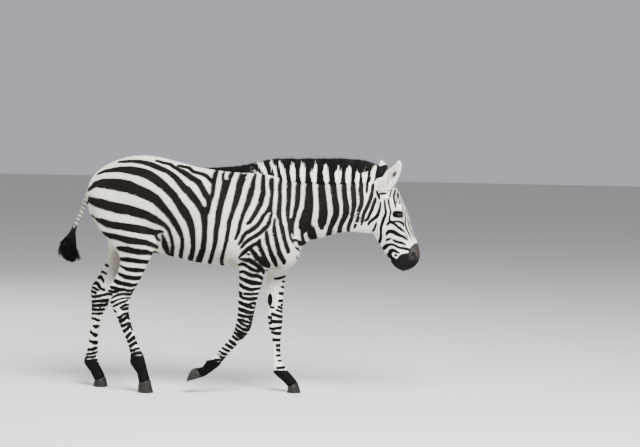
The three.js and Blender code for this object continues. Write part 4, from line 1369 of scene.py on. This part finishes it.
# The way the hair lies, before it is laid on the skin.
def hairLie(plan, name):
    s = named(lieSettings)
    x, y, z = plan.T
    lie = np.tile(np.array(s.trunk, float), (len(x), 1))
    drop, fromZ, toZ = s.trunkDrop
    lie[:, 2] -= drop * fade(fromZ, toZ, z)
    breast = fade(*s.breastAhead, x) * fade(*s.breastDown, z)
    leg = fade(*s.legDown, z) * (name in legPieces)
    for part, share in (("neck", fade(*s.neckAhead, x)), ("rump", fade(*s.rumpBack, x)),
                        ("breast", breast), ("leg", leg)):
        lie = lie * (1 - share[:, None]) + np.array(lieSettings[part]) * share[:, None]
    face = fade(*s.faceAhead, x)[:, None]
    back = fade(*s.jawBack, headAxes(x, z)[1])[:, None]
    along = np.array([math.sin(headLean), 0, -math.cos(headLean)])
    lie = lie * (1 - face) + (along + np.array(s.jaw) * back) * face
    if name == "tail":
        lie[:] = s.tail
    if name == "ears":
        lie[y < 0] = earFrame("right")[:, 2]
        lie[y > 0] = earFrame("left")[:, 2]
    return lie


# A share of the whole turn round a middle line.
def turnShare(across, out):
    return 0.5 + np.arctan2(across, out) / (2 * math.pi)


# A place for each root on an unwrap of the animal's own shape: along the part, and round it.
def unwrapPlace(plan, name):
    s = named(unwrapSettings)
    x, y, z = plan.T
    if name in trunkPieces:
        start, length, middle = s.trunk
        around = 0.5 * np.arctan2(np.abs(y), z - middle) / math.pi
        return np.stack([(x - start) / length, np.where(y < 0, around, 0.5 + around)], 1)
    if name == "neck":
        start, length = s.neck
        return np.stack([(x - start) / length, turnShare(y, z - np.interp(x, *s.neckMiddle))], 1)
    if name == "head":
        down, ahead = headAxes(x, z)
        start, length, middle = s.head
        return np.stack([(down - start) / length, turnShare(y, ahead - middle)], 1)
    if name == "tail":
        (top, length), (middle, slope, level) = s.tail, s.tailMiddle
        return np.stack([(top - z) / length, turnShare(y, x - middle - (z - level) * slope)], 1)
    place = np.zeros((len(x), 2))
    for side, sign in sides:
        mine = y * sign > 0
        if name == "ears":
            local = earLocal(plan[mine], side)
            along, around = local[:, 2] / s.ears, turnShare(local[:, 1], local[:, 0])
        else:
            levels = s.legLevels
            level = np.clip((z[mine] / s.legLevel).astype(int), 0, levels - 1)
            number = np.maximum(np.bincount(level, minlength=levels), 1)
            midX, midY = (np.bincount(level, v[mine], minlength=levels) / number for v in (x, y))
            along, around = z[mine] / s.legs, turnShare(y[mine] - midY[level], x[mine] - midX[level])
        place[mine] = np.stack([along, (0.25 + 0.25 * sign) + 0.5 * around], 1)
    return place


def triangleData(mesh):
    mesh.calc_loop_triangles()
    corners = np.empty(len(mesh.loop_triangles) * 3, np.int32)
    mesh.loop_triangles.foreach_get("vertices", corners)
    corners = corners.reshape(-1, 3)
    plan, normals = toPlan(readCo(mesh)), readNormals(mesh)
    a, b, c = (plan[corners[:, i]] for i in range(3))
    return plan, normals, corners, 0.5 * np.linalg.norm(np.cross(b - a, c - a), axis=1)


# Places where no tuft grows: lids, lips, nostrils, and the edges of the hind hooves and the lifted one.
def isBare(plan):
    s = named(coatSettings)
    x, y, z = plan.T
    bare = (almond(x, z) > -s.lidMargin) & (np.abs(y) > s.lidAside) & (x > s.lidFrom)
    muzzle = np.nonzero(onMuzzle(x, z))[0]
    folded = mirrored(x, y, z)[muzzle]
    bare[muzzle] |= awayFrom(folded, mouthLine) < s.lipMargin
    bare[muzzle] |= awayFrom(folded, nostrilLine) < s.nostrilMargin
    bare |= (z < s.hoofEdge) & (x < s.hoofTo)
    return bare


# Roots spread evenly over the chosen triangles of the skin.
def scatterRoots(rng, plan, normals, corners, area, mine, each):
    reach = np.cumsum(area[mine])
    number = int(reach[-1] / each)
    pick = (np.arange(number) + rng.random(number)) * (reach[-1] / number)
    chosen = mine[np.clip(np.searchsorted(reach, pick), 0, len(mine) - 1)]
    u, v = rng.random(number), rng.random(number)
    flip = u + v > 1
    u[flip], v[flip] = 1 - u[flip], 1 - v[flip]
    weights = np.stack([1 - u - v, u, v], 1)[:, :, None]
    root = (plan[corners[chosen]] * weights).sum(axis=1)
    normal = unit((normals[corners[chosen]] * weights).sum(axis=1))
    return root, normal


def lengthShare(name, root):
    x, _, z = root.T
    kind = "legs" if name in legPieces else name
    if kind not in lengthFades:
        return 1
    first, change, start, end = lengthFades[kind]
    measure = {"head": headAxes(x, z)[0], "neck": x, "legs": z}[kind]
    return first + change * fade(start, end, measure)


def buildTufts(rng, name, look, root, normal, material):
    s = named(coatSettings)
    number = len(root)
    lie = hairLie(root, name)
    lie = unit(lie - normal * (lie * normal).sum(axis=1)[:, None])
    turn = np.radians(rng.normal(0, s.spread, number))[:, None]
    lie = unit(lie * np.cos(turn) + np.cross(normal, lie) * np.sin(turn))
    rise = np.radians(look["rise"] * rng.uniform(*s.riseSpread, number))[:, None]
    length = look["length"] * (1 + s.lengthSpread * rng.uniform(-1, 1, number)) * lengthShare(name, root)
    tip = root + length[:, None] * (lie * np.cos(rise) + normal * np.sin(rise))
    paths = np.stack([root - normal * look["sunk"], tip], axis=1)
    size = rng.uniform(*s.sizeSpread, number)
    widths = np.stack([look["width"] * size, 0 * size], 1)
    flats = np.stack([look["flat"] * size, 0 * size], 1)
    ragged = s.fineRagged if name in ("head", *legPieces) else s.ragged
    seen = root + s.seenAt * (tip - root) + rng.normal(0, ragged, root.shape)
    facts = markings(seen, normal)
    facts["shade"] = rng.uniform(-1, 1, number)
    piece = joinHairs("coat_" + name, paths, widths, flats, normal, facts,
                      rootPatches(unwrapPlace(root, name)))
    dress(piece, material)
    return piece


def buildCoat(material):
    s = named(coatSettings)
    rng = np.random.default_rng(s.randomSeed)
    plan, normals, corners, area = triangleData(skin.data)
    partOf = coatPart(plan[corners].mean(axis=1))
    for name in (*trunkPieces, "neck", "head", *legPieces, "ears", "tail"):
        kind = "trunk" if name in trunkPieces else "legs" if name in legPieces else name
        look = coatSettings[kind]
        mine = np.nonzero(partOf == name)[0]
        root, normal = scatterRoots(rng, plan, normals, corners, area, mine, look["area"])
        keep = ~isBare(root)
        if name == "ears":
            onRight, onLeft = (normal @ earFrame(side)[:, 0] for side in ("right", "left"))
            keep &= np.where(root[:, 1] < 0, onRight, onLeft) < s.insideEar
        piece = buildTufts(rng, name, look, root[keep], normal[keep], material)
        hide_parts(*coatNodes["trunk" if name in trunkPieces else name])
        say(f"coat on {name}: {keep.sum()} tufts")


coatLooks = coatMaterial("zebra_coat", False)
buildCoat(coatLooks)


# The mane: an upright crest of locks along the neck.
# Rows from the withers to the forelock: (top x, top z), (foot x, foot z), half thickness.
maneRows = [
    ((-60, 1234), (-60, 1216), 9), ((60, 1243), (60, 1200), 12), ((160, 1256), (165, 1190), 14),
    ((245, 1282), (270, 1185), 15), ((340, 1298), (350, 1165), 15), ((460, 1300), (465, 1140), 15),
    ((600, 1304), (600, 1140), 15), ((740, 1304), (730, 1140), 15), ((845, 1292), (812, 1145), 15),
    ((915, 1262), (870, 1150), 15), ((955, 1222), (920, 1150), 14), ((975, 1178), (940, 1140), 11),
]
# The pale locks: runs of (x, z, half width) up the crest.
maneWhites = [
    [(235,1200,13), (217,1212,5), (204,1226,4), (195,1234,3)],
    [(286,1160,13), (280,1200,13), (275,1212,12), (265,1230,12), (257,1247,10), (247,1262,8),
     (234,1270,7), (219,1275,6), (209,1277,4)],
    [(337,1160,12), (332,1200,11), (332,1210,10), (328,1225,9), (320,1240,9), (313,1255,8),
     (307,1267,7), (301,1279,6)],
    [(386,1160,13), (379,1200,13), (375,1215,14), (366,1232,12), (361,1247,11), (356,1262,10),
     (351,1277,7)],
    [(434,1160,14), (428,1200,17), (426,1221,17), (425,1241,13), (425,1256,8), (426,1275,3)],
    [(486,1160,14), (481,1200,17), (480,1224,15), (480,1242,12), (478,1260,8), (477,1275,5)],
    [(548,1160,15), (539,1200,18), (529,1222,8)],
    [(539,1200,14), (550,1231,10), (550,1251,8), (551,1268,6)],
    [(617,1160,15), (608,1200,17), (608,1225,18), (606,1245,12), (606,1262,8)],
    [(678,1160,17), (674,1200,19), (675,1223,18), (680,1243,10)],
    [(734,1160,17), (730,1200,17), (732,1228,15), (735,1247,12)],
    [(782,1160,13), (781,1200,15), (782,1218,10), (781,1230,7)],
    [(820,1160,11), (822,1200,16), (822,1219,17), (832,1224,8)],
    [(857,1160,10), (866,1200,14), (866,1224,12), (873,1250,9), (878,1262,8)],
]
maneSettings = {
    "locks": 7000, "rings": 5, "width": 2.1, "flat": 1.3, "seed": 5, "coreInset": 5.0, "voxel": 3.6,
    "taper": (1, 1.15, 1.0, 0.7, 0), "sizeSpread": (0.75, 1.3), "whiteFoot": (3.5, 1222, 1196),
    "foot": (1190, 1225), "coreRough": 6, "coreSpread": 1.5, "coreDrop": 6, "black": 0.75, "tipBlack": 0.3,
    "tall": 1.06, "uneven": (0.30, 1.6), "lowAside": 0.08, "waves": (0.03, 9.0, 23.0), "aside": 0.7,
    "lean": (4.5, 3.5, 14.0), "bow": 1.5, "edge": 1.5, "closing": (0.55, 1.5), "stray": 0.9,
    "raised": (9, 6, 3.1), "spread": 1.6, "normalSpread": 0.25,
}


def maneFacts(x, z):
    loss, top, foot = maneSettings["whiteFoot"]
    pale = strokeField(x, z, maneWhites) - loss * fade(top, foot, z)
    zero = np.zeros(x.shape)
    return {"stripe": -pale, "black": zero + maneSettings["black"], "muzzle": zero, "nose": zero, "dim": zero,
            "inEar": zero}


# Each of a row's five measures, read at places between the rows.
def readRows(rows, at):
    flat = np.array([[*a, *b, half] for a, b, half in rows], float)
    return [np.interp(at.ravel(), np.arange(len(rows)), flat[:, i]).reshape(at.shape) for i in range(5)]


def buildManeCore(rng, material):
    s = named(maneSettings)
    core = objectFrom(nodeCopy("mane", -s.coreInset), "mane_core")
    addRemesh(core, s.voxel)
    applyModifiers(core)
    plan = toPlan(readCo(core.data))
    number = len(plan)
    rough = rng.normal(0, s.coreRough, number) * fade(*s.foot, plan[:, 2])
    seenX = plan[:, 0] + rng.normal(0, s.coreSpread, number)
    for name, values in maneFacts(seenX, plan[:, 2] + s.coreDrop + rough).items():
        storeFloat(core.data, name, values)
    shadeSmooth(core)
    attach(core, "root")
    dress(core, material)
    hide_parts("mane")


def buildMane(material):
    s = named(maneSettings)
    rng = np.random.default_rng(s.seed)
    buildManeCore(rng, material)
    number = s.locks
    foot = np.array([row[1] for row in maneRows], float)
    distance = np.concatenate([[0], np.cumsum(np.hypot(*np.diff(foot, axis=0).T))])
    place = (np.arange(number) + rng.random(number)) / number * distance[-1]
    topX, topZ, footX, footZ, half = readRows(maneRows, np.interp(place, distance, np.arange(len(maneRows))))
    across = rng.uniform(-1, 1, number)
    across = np.sign(across) * np.abs(across) ** s.aside
    (loss, power), (wave, shortWave, longWave) = s.uneven, s.waves
    height = (s.tall - loss * rng.random(number) ** power) * (1 - s.lowAside * np.abs(across))
    height = height + wave * np.sin(place / shortWave) * np.sin(place / longWave + 1)
    lean = rng.normal(0, s.lean[0], number) + s.lean[1] * np.sin(place / s.lean[2])
    rings = np.linspace(0, 1, s.rings)[None]
    share = rings * height[:, None]
    x = footX[:, None] + (topX - footX)[:, None] * share + lean[:, None] * rings ** 2
    z = footZ[:, None] + (topZ - footZ)[:, None] * share
    bow = np.sin(rings * math.pi) * s.bow
    closing, power = s.closing
    y = across[:, None] * (half[:, None] - s.edge) * (1 - closing * rings ** power)
    y = y + np.sign(across)[:, None] * bow + rng.normal(0, s.stray, number)[:, None] * rings
    taper = np.outer(rng.uniform(*s.sizeSpread, number), s.taper)
    normals = np.stack([s.normalSpread * rng.normal(size=number), np.sign(across), 0 * across], 1)
    spread, wave, length = s.raised
    raised = rng.normal(0, spread, number)[:, None] + wave * np.sin(place / length)[:, None]
    seenX = x + rng.normal(0, s.spread, number)[:, None]
    facts = maneFacts(seenX, z + raised * fade(*s.foot, z))
    facts["black"] = np.clip(facts["black"] + s.tipBlack * rings, 0, 1)
    facts["shade"] = rng.uniform(-1, 1, number)
    # a lock's patch runs up the lock, the right side's in the lower half of the map
    uv = np.stack([0.01 + 0.98 * np.repeat((place / distance[-1])[:, None], s.rings, 1),
                   np.where(across < 0, 0.02, 0.52)[:, None] + 0.44 * share], 2)
    locks = joinHairs("mane_locks", np.stack([x, y, z], 2), s.width * taper, s.flat * taper,
                      normals, facts, uv)
    dress(locks, material)
    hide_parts("mane")


# The tail switch: long strands from the end of the dock, gathered into locks.
# Rows down the switch: (front x, front z), (back x, back z), half thickness.
switchRows = [
    ((-772, 898), (-797, 905), 11), ((-783, 867), (-806, 873), 12.5), ((-779, 830), (-834, 838), 19),
    ((-775, 785), (-868, 795), 27), ((-757, 740), (-876, 745), 29), ((-742, 708), (-862, 706), 25),
    ((-764, 690), (-832, 690), 13),
]
# Places down the switch are counted in rows, from 0 at the dock to 6 at the tips.
switchSettings = {
    "strands": 1500, "locks": 38, "rings": 7, "width": 1.3, "flat": 1.0, "seed": 9,
    "taper": (0.8, 1.1, 1.1, 1.0, 0.85, 0.55, 0), "sizeSpread": (0.7, 1.3), "rootRows": (1.5, 2.0),
    "lastRow": 5.97, "shortLock": (2.6, 1.3), "shortBack": (1.0, 0.55), "shortStrand": 0.5,
    "through": 0.9, "flare": (0.03, 0.05), "flareBack": (0.10, 0.7), "flareShare": 0.5, "stray": 0.025,
    "gather": (0.95, 1.6), "acrossLimits": (-0.05, 1.1), "wave": (3.0, 5, 6), "edge": 2,
    "paleFrom": 0.70, "paleShare": 0.05, "paleRoots": 0.5, "paleDim": 0.75,
}


def buildSwitch(material):
    s = named(switchSettings)
    rng = np.random.default_rng(s.seed)
    number, locks = s.strands, s.locks
    across, through = rng.random(number), rng.uniform(-1, 1, number)
    through = through * np.sqrt(np.clip(1 - (2 * across - 1) ** 2, 0.05, 1))
    power, span = s.rootRows
    begin = rng.random(number) ** power * span
    lock = rng.integers(0, locks, number)
    lockAcross, lockThrough = rng.random(locks), rng.uniform(-s.through, s.through, locks)
    (loss, power), (lossBack, startBack) = s.shortLock, s.shortBack
    lockEnd = s.lastRow - loss * rng.random(locks) ** power
    lockEnd = lockEnd - lossBack * fade(startBack, 1, lockAcross)
    finish = lockEnd[lock] - s.shortStrand * rng.random(number) ** 2
    flare = rng.normal(*s.flare, locks) + s.flareBack[0] * fade(s.flareBack[1], 1, lockAcross)
    rings = np.linspace(0, 1, s.rings)[None]
    at = begin[:, None] + (finish - begin)[:, None] * rings
    frontX, frontZ, backX, backZ, half = readRows(switchRows, at)
    gather = s.gather[0] * rings ** s.gather[1]
    toward = lockAcross[lock] + flare[lock] * s.flareShare + rng.normal(0, s.stray, number)
    across = np.clip(across[:, None] * (1 - gather) + toward[:, None] * gather, *s.acrossLimits)
    through = through[:, None] * (1 - gather) + lockThrough[lock][:, None] * gather
    x = frontX + (backX - frontX) * across
    z = frontZ + (backZ - frontZ) * across
    size, turns, start = s.wave
    wave = rng.normal(0, size, number)[:, None]
    wave = wave * np.sin(rings * turns + rng.random(number)[:, None] * start)
    y = through * (half - s.edge) + wave * rings
    taper = np.outer(rng.uniform(*s.sizeSpread, number), s.taper)
    sideways = through.mean(axis=1) + 0.01
    normals = np.stack([0.3 * rng.normal(size=number), sideways, 0 * sideways], 1)
    pale = (rng.random(number) < s.paleShare) & (begin < s.paleRoots)
    pale &= across.mean(axis=1) > s.paleFrom
    zero = np.zeros(number)
    facts = {"stripe": np.where(pale, -6.0, 20.0), "black": zero + 1, "muzzle": zero, "nose": zero,
             "inEar": zero, "dim": np.where(pale, s.paleDim, 0), "shade": rng.uniform(-1, 1, number)}
    uv = np.stack([0.02 + 0.96 * across, 0.02 + 0.96 * at / 6], 2)
    switch = joinHairs("switch_strands", np.stack([x, y, z], 2), s.width * taper, s.flat * taper,
                       normals, facts, uv)
    dress(switch, material)
    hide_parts("tail_switch")


hairLook = coatMaterial("zebra_mane", False, 0.24)
buildMane(hairLook)
buildSwitch(hairLook)
say("mane and switch made")


# The eyes: a ball each, with a long pupil and a low swell over the iris. Sizes in mm.
eyeSettings = {
    "radius": 21.0, "pupil": (7.6, 3.6), "iris": 13.5, "tilt": 10.0, "facing": (0.30, 1.0, -0.05),
    "swell": 0.5, "swellFoot": 1, "swellTop": 6, "grain": 320.0, "irisDark": 0.6,
    "pupilColour": (0.003, 0.003, 0.004), "irisColour": (0.018, 0.010, 0.006),
    "rimColour": (0.008, 0.006, 0.005), "roughness": 0.16, "gloss": 0.2, "coat": (0.25, 0.03),
}


def eyeMaterial():
    s = named(eyeSettings)
    g = Graph("zebra_eye")
    grain = g.noise(g.place(), s.grain, 2.0, 0.5)
    iris = g.mix(g.ramp(grain, 0.35, 0.65), s.irisColour, darker(s.irisColour, s.irisDark))
    iris = g.mix(g.ramp(g.attribute("pupilReach"), -0.6, 0.6), iris, s.pupilColour)
    colour = g.mix(g.ramp(g.attribute("irisReach"), -1.0, 1.0), s.rimColour, iris)
    g.finish(colour, s.roughness, s.gloss)
    g.fill(g.shader, {"Coat Weight": s.coat[0], "Coat Roughness": s.coat[1]})
    return g.material


def buildEyes():
    s = named(eyeSettings)
    look = eyeMaterial()
    for side, sign in sides:
        bm = bmesh.new()
        bmesh.ops.create_uvsphere(bm, u_segments=64, v_segments=40, radius=s.radius / 1000)
        ball = objectFrom(bm, "eye_ball_" + side)
        co = readCo(ball.data) * 1000
        facing = unit(np.array(s.facing) * [1, sign, 1])
        across = unit(np.cross(facing, [0, 0, 1]))
        upward = np.cross(across, facing)
        u, v = co @ across, co @ upward
        turn = math.radians(s.tilt)
        u, v = u * math.cos(turn) + v * math.sin(turn), v * math.cos(turn) - u * math.sin(turn)
        outward = co @ facing > 0
        pupil = (1 - np.hypot(u / s.pupil[0], v / s.pupil[1])) * s.pupil[1]
        storeFloat(ball.data, "pupilReach", np.where(outward, pupil, -9))
        storeFloat(ball.data, "irisReach", np.where(outward, s.iris - np.hypot(u, v), -9))
        swell = fade(s.iris + s.swellFoot, s.swellTop, np.hypot(u, v))
        co = co * (1 + np.where(outward, s.swell * swell, 0)[:, None] / s.radius)
        writeCo(ball.data, fromPlan(co + eyeCentre(sign)))
        shadeSmooth(ball)
        dress(ball, look)
        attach(ball, "root")
        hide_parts("eye_" + side)


buildEyes()


# The hooves: dark horn with fine growth rings, worn pale at the ground. Sizes in mm.
hoofSettings = {
    "voxel": 2.4, "smooth": 8, "overlap": 0.2, "ring": 0.35, "ringGap": 5.5, "ringWander": 11,
    "sole": 1.2, "lean": (0.25, 0, 1.0), "raisedLean": (0.75, 0, 0.66), "wall": (0.75, 0.3),
    "wearHeight": (16, 2), "wearShare": 0.7, "grain": (900, 900, 60), "patchScale": 45.0,
    "horn": (0.006, 0.0055, 0.005), "wear": (0.034, 0.029, 0.024), "roughness": 0.5, "gloss": 0.25,
    "bump": (0.35, 0.0006),
}


def hoofMaterial():
    s = named(hoofSettings)
    g = Graph("zebra_hoof")
    grain = g.noise(g.place(s.grain), 1.0, 3.0, 0.6)
    worn = g.math("MULTIPLY", g.ramp(g.noise(g.place(), s.patchScale, 4.0, 0.6), 0.45, 0.7), 0.5)
    worn = g.math("ADD", worn, g.attribute("wear"), clamp=True)
    colour = g.mix(worn, s.horn, s.wear)
    colour = g.mix(g.math("MULTIPLY", g.ramp(grain, 0.4, 0.7), 0.35), colour, s.wear)
    g.finish(colour, s.roughness, s.gloss)
    g.bump(grain, *s.bump)
    return g.material


def buildHooves():
    s = named(hoofSettings)
    look = hoofMaterial()
    for name in ("hoof_fore_right", "hoof_fore_left", "hoof_hind_right", "hoof_hind_left"):
        hoof = objectFrom(nodeCopy(name, s.overlap), name + "_horn")
        addRemesh(hoof, s.voxel)
        addSmooth(hoof, s.smooth)
        applyModifiers(hoof)
        plan, normals = toPlan(readCo(hoof.data)), readNormals(hoof.data)
        raised = name == "hoof_fore_right"
        lean = unit(np.array(s.raisedLean if raised else s.lean))
        level = plan @ lean
        wall = fade(*s.wall, np.abs(normals @ lean))
        rings = np.sin(level / s.ringGap * 2 * math.pi + np.sin(level / s.ringWander))
        plan = plan + normals * (s.ring * rings * wall)[:, None]
        if not raised:
            plan[:, 2] = np.where(plan[:, 2] < s.sole, 0, plan[:, 2])
        writeCo(hoof.data, fromPlan(plan))
        top, foot = (level.min() + height for height in s.wearHeight)
        storeFloat(hoof.data, "wear", s.wearShare * fade(top, foot, level))
        shadeSmooth(hoof)
        dress(hoof, look)
        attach(hoof, "root")
        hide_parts(name)


buildHooves()
say("eyes and hooves made")


# Fine hairs: lashes, whiskers and the fringe inside the ears. Lengths and half widths in mm.
fineSettings = {
    "seed": 21, "rings": 4, "taper": (1, 0.8, 0.5, 0),
    "lashes": 34, "lashSpan": (-0.62, 1.4), "lashBall": 22.6, "lashLength": (11, 16), "lashWidth": 0.34,
    "lashWay": (0.25, 1.0, -0.30), "lashFan": 0.02, "lashStray": 0.06, "lashCurl": 2.5,
    "whiskers": 46, "whiskerDown": (440, 508), "whiskerAhead": (-58, 36), "whiskerAside": 40.0,
    "whiskerWay": (0.15, 0, -0.45), "whiskerStray": 0.12, "whiskerLength": (14, 34), "whiskerDroop": 5.0,
    "whiskerWidth": 0.26,
    "earHairs": 420, "earSpan": (24, 150), "earTaper": (1, 0.9, 0.6, 0), "earWidth": (0.4, 0.7),
    "earEdge": ([0, 22, 50, 85, 120, 155, 183], [26, 33, 39, 42, 42, 35, 19]), "earInset": 0.9,
    "earForward": 6.0, "earWay": (0.55, -0.75, 0.55), "earStray": 0.12, "earLength": (12, 24),
    "earDim": 0.1,
}


def nearestOnSkin(place):
    found = skinTree.find_nearest(Vector(fromPlan(np.array(place))))
    return toPlan(np.array(found[0])), np.array(found[1])


# OFBake patches for the loose hairs, each at a random place.
def scatteredPatches(rng, number):
    along = np.linspace(0, 0.002, fineSettings["rings"])
    return rng.random((number, 1, 2)) * 0.9 + 0.05 + along[None, :, None]


# One lash along the upper lid, from the side's eye outwards and down.
def lashLine(rng, sign, i):
    s, lid = named(fineSettings), named(lidSettings)
    start, span = s.lashSpan
    u = lid.halfLength * (start + span * (i + rng.random()) / s.lashes)
    w = lid.upper * (1 - min(abs(u) / lid.halfLength, 1) ** lid.corner) + 0.3
    turn = -math.radians(lid.slant)
    du, dw = u * math.cos(turn) - w * math.sin(turn), u * math.sin(turn) + w * math.cos(turn)
    du, dw = du + lid.shift[0], dw + lid.shift[1]
    out = math.sqrt(max(s.lashBall ** 2 - du ** 2 - dw ** 2, 4))
    root = eyeCentre(sign) + np.array([du, sign * out, dw])
    way = np.array(s.lashWay) * [1, sign, 1] + [s.lashFan * du, 0, 0]
    way = unit(way + rng.normal(0, s.lashStray, 3))
    length = rng.uniform(*s.lashLength)
    curl = np.array([0, 0, s.lashCurl])
    return [root + way * length * t + curl * t ** 2 for t in np.linspace(0, 1, s.rings)]


def whiskerLine(rng, sign):
    s = named(fineSettings)
    down, ahead = rng.uniform(*s.whiskerDown), rng.uniform(*s.whiskerAhead)
    spot, normal = nearestOnSkin(onHead(down, ahead, sign * s.whiskerAside))
    way = unit(normal + np.array(s.whiskerWay) + rng.normal(0, s.whiskerStray, 3))
    length = rng.uniform(*s.whiskerLength)
    droop = np.array([0, 0, -s.whiskerDroop])
    return [spot - normal * 0.5 + way * length * t + droop * t ** 2 for t in np.linspace(0, 1, s.rings)]


def buildLashes(rng, material):
    s = named(fineSettings)
    lines, widths = [], []
    for sign in (-1, 1):
        lines += [lashLine(rng, sign, i) for i in range(s.lashes)]
        lines += [whiskerLine(rng, sign) for _ in range(s.whiskers // 2)]
        widths += [s.lashWidth] * s.lashes + [s.whiskerWidth] * (s.whiskers // 2)
    paths = np.array(lines)
    number = len(paths)
    taper = np.outer(widths, s.taper)
    zero = np.zeros(number)
    facts = {name: zero for name in ("muzzle", "dim", "inEar", "shade")}
    facts.update(stripe=zero + 20, black=zero + 1)
    uv = scatteredPatches(rng, number)
    fine = joinHairs("lashes_whiskers", paths, taper, taper, np.tile([0.0, 0.1, 1.0], (number, 1)),
                     facts, uv)
    dress(fine, material)
    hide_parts("head")


# Pale hairs that stand across the opening of each ear.
def buildEarHairs(rng, material):
    s = named(fineSettings)
    roots, ways = [], []
    for side in ("right", "left"):
        axes = earFrame(side)
        base = np.array(earPlace[side][0], float)
        for _ in range(s.earHairs // 2):
            along = rng.uniform(*s.earSpan)
            edge = np.interp(along, *s.earEdge) * s.earInset
            which = rng.choice([-1, 1])
            spot, _ = nearestOnSkin(base + axes @ np.array([s.earForward, which * edge, along]))
            roots.append(spot)
            way = np.array(s.earWay) * [1, which, 1]
            ways.append(axes @ way + rng.normal(0, s.earStray, 3))
    roots, ways = np.array(roots), unit(np.array(ways))
    number = len(roots)
    length = rng.uniform(*s.earLength, number)
    rings = np.linspace(0, 1, s.rings)[None]
    paths = roots[:, None] + ways[:, None] * (length[:, None] * rings)[:, :, None]
    taper = np.outer(rng.uniform(*s.earWidth, number), s.earTaper)
    zero = np.zeros(number)
    facts = {"stripe": zero - 9, "black": zero, "muzzle": zero, "dim": zero + s.earDim, "inEar": zero,
             "shade": rng.uniform(-1, 1, number)}
    uv = scatteredPatches(rng, number)
    inner = joinHairs("ear_hairs", paths, taper, taper, np.tile([0.0, 0.3, 1.0], (number, 1)),
                      facts, uv)
    dress(inner, material)
    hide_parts("ear_right", "ear_left")


skinTree = BVHTree.FromObject(skin, bpy.context.evaluated_depsgraph_get())
fineRandom = np.random.default_rng(fineSettings["seed"])
buildLashes(fineRandom, hairLook)
buildEarHairs(fineRandom, coatLooks)
say("fine hairs made")


# The stage: a plain floor, a soft key and a soft fill. Places and sizes in metres, powers in watts.
stageSettings = {
    "floor": (0.60, 0.59, 0.57), "floorHalf": 40, "world": 0.50, "sky": (0.9, 0.93, 1, 1),
    "key": {"place": (2.2, -4.5, 6.0), "size": 4, "power": 2100},
    "fill": {"place": (-4.5, 3.0, 4.0), "size": 5, "power": 330},
    "aim": (0, 0, 0.7),
}


def plainMaterial(name, colour, roughness):
    made = bpy.data.materials.new(name)
    made.use_nodes = True
    shader = made.node_tree.nodes["Principled BSDF"]
    shader.inputs["Base Color"].default_value = (*colour, 1)
    shader.inputs["Roughness"].default_value = roughness
    return made


def buildStage():
    s = named(stageSettings)
    bm = bmesh.new()
    bmesh.ops.create_grid(bm, x_segments=1, y_segments=1, size=s.floorHalf)
    floor = objectFrom(bm, "floor")
    floor.data.materials.append(plainMaterial("floor_plain", s.floor, 0.9))
    world = bpy.data.worlds.new("studio")
    bpy.context.scene.world = world
    world.use_nodes = True
    background = world.node_tree.nodes["Background"]
    background.inputs[0].default_value = s.sky
    background.inputs[1].default_value = s.world
    for name, light in (("key", s.key), ("fill", s.fill)):
        lamp = bpy.data.lights.new(name, "AREA")
        lamp.energy = light["power"]
        lamp.size = light["size"]
        made = bpy.data.objects.new(name, lamp)
        made.location = light["place"]
        aim = Vector(s.aim) - Vector(light["place"])
        made.rotation_euler = aim.to_track_quat("-Z", "Y").to_euler()
        bpy.context.scene.collection.objects.link(made)


# The camera: 11 m away, a little ahead of the animal's side, at a standing person's eye height.
# Distances in mm, turns in degrees.
cameraSettings = {"distance": 11000, "azimuth": 9.0, "height": 1500, "lens": 112.5, "sensor": 36,
                  "roll": 1.0, "aimRight": 3.005, "tilt": -2.926, "clipEnd": 200}


def buildCamera():
    s = named(cameraSettings)
    turn = math.radians(s.azimuth)
    place = np.array([s.distance * math.sin(turn), -s.distance * math.cos(turn), s.height])
    data = bpy.data.cameras.new("camera")
    data.lens = s.lens
    data.sensor_width = s.sensor
    data.clip_end = s.clipEnd
    camera = bpy.data.objects.new("camera", data)
    bpy.context.scene.collection.objects.link(camera)
    camera.location = fromPlan(place)
    heading = math.atan2(math.cos(turn), -math.sin(turn)) - math.radians(s.aimRight)
    tilt = math.radians(s.tilt)
    ahead = Vector((math.cos(heading) * math.cos(tilt), math.sin(heading) * math.cos(tilt), math.sin(tilt)))
    level = ahead.to_track_quat("-Z", "Y").to_matrix()
    camera.rotation_euler = (level @ Matrix.Rotation(math.radians(s.roll), 3, "Z")).to_euler()
    bpy.context.scene.camera = camera


buildStage()
buildCamera()
say("scene ready")
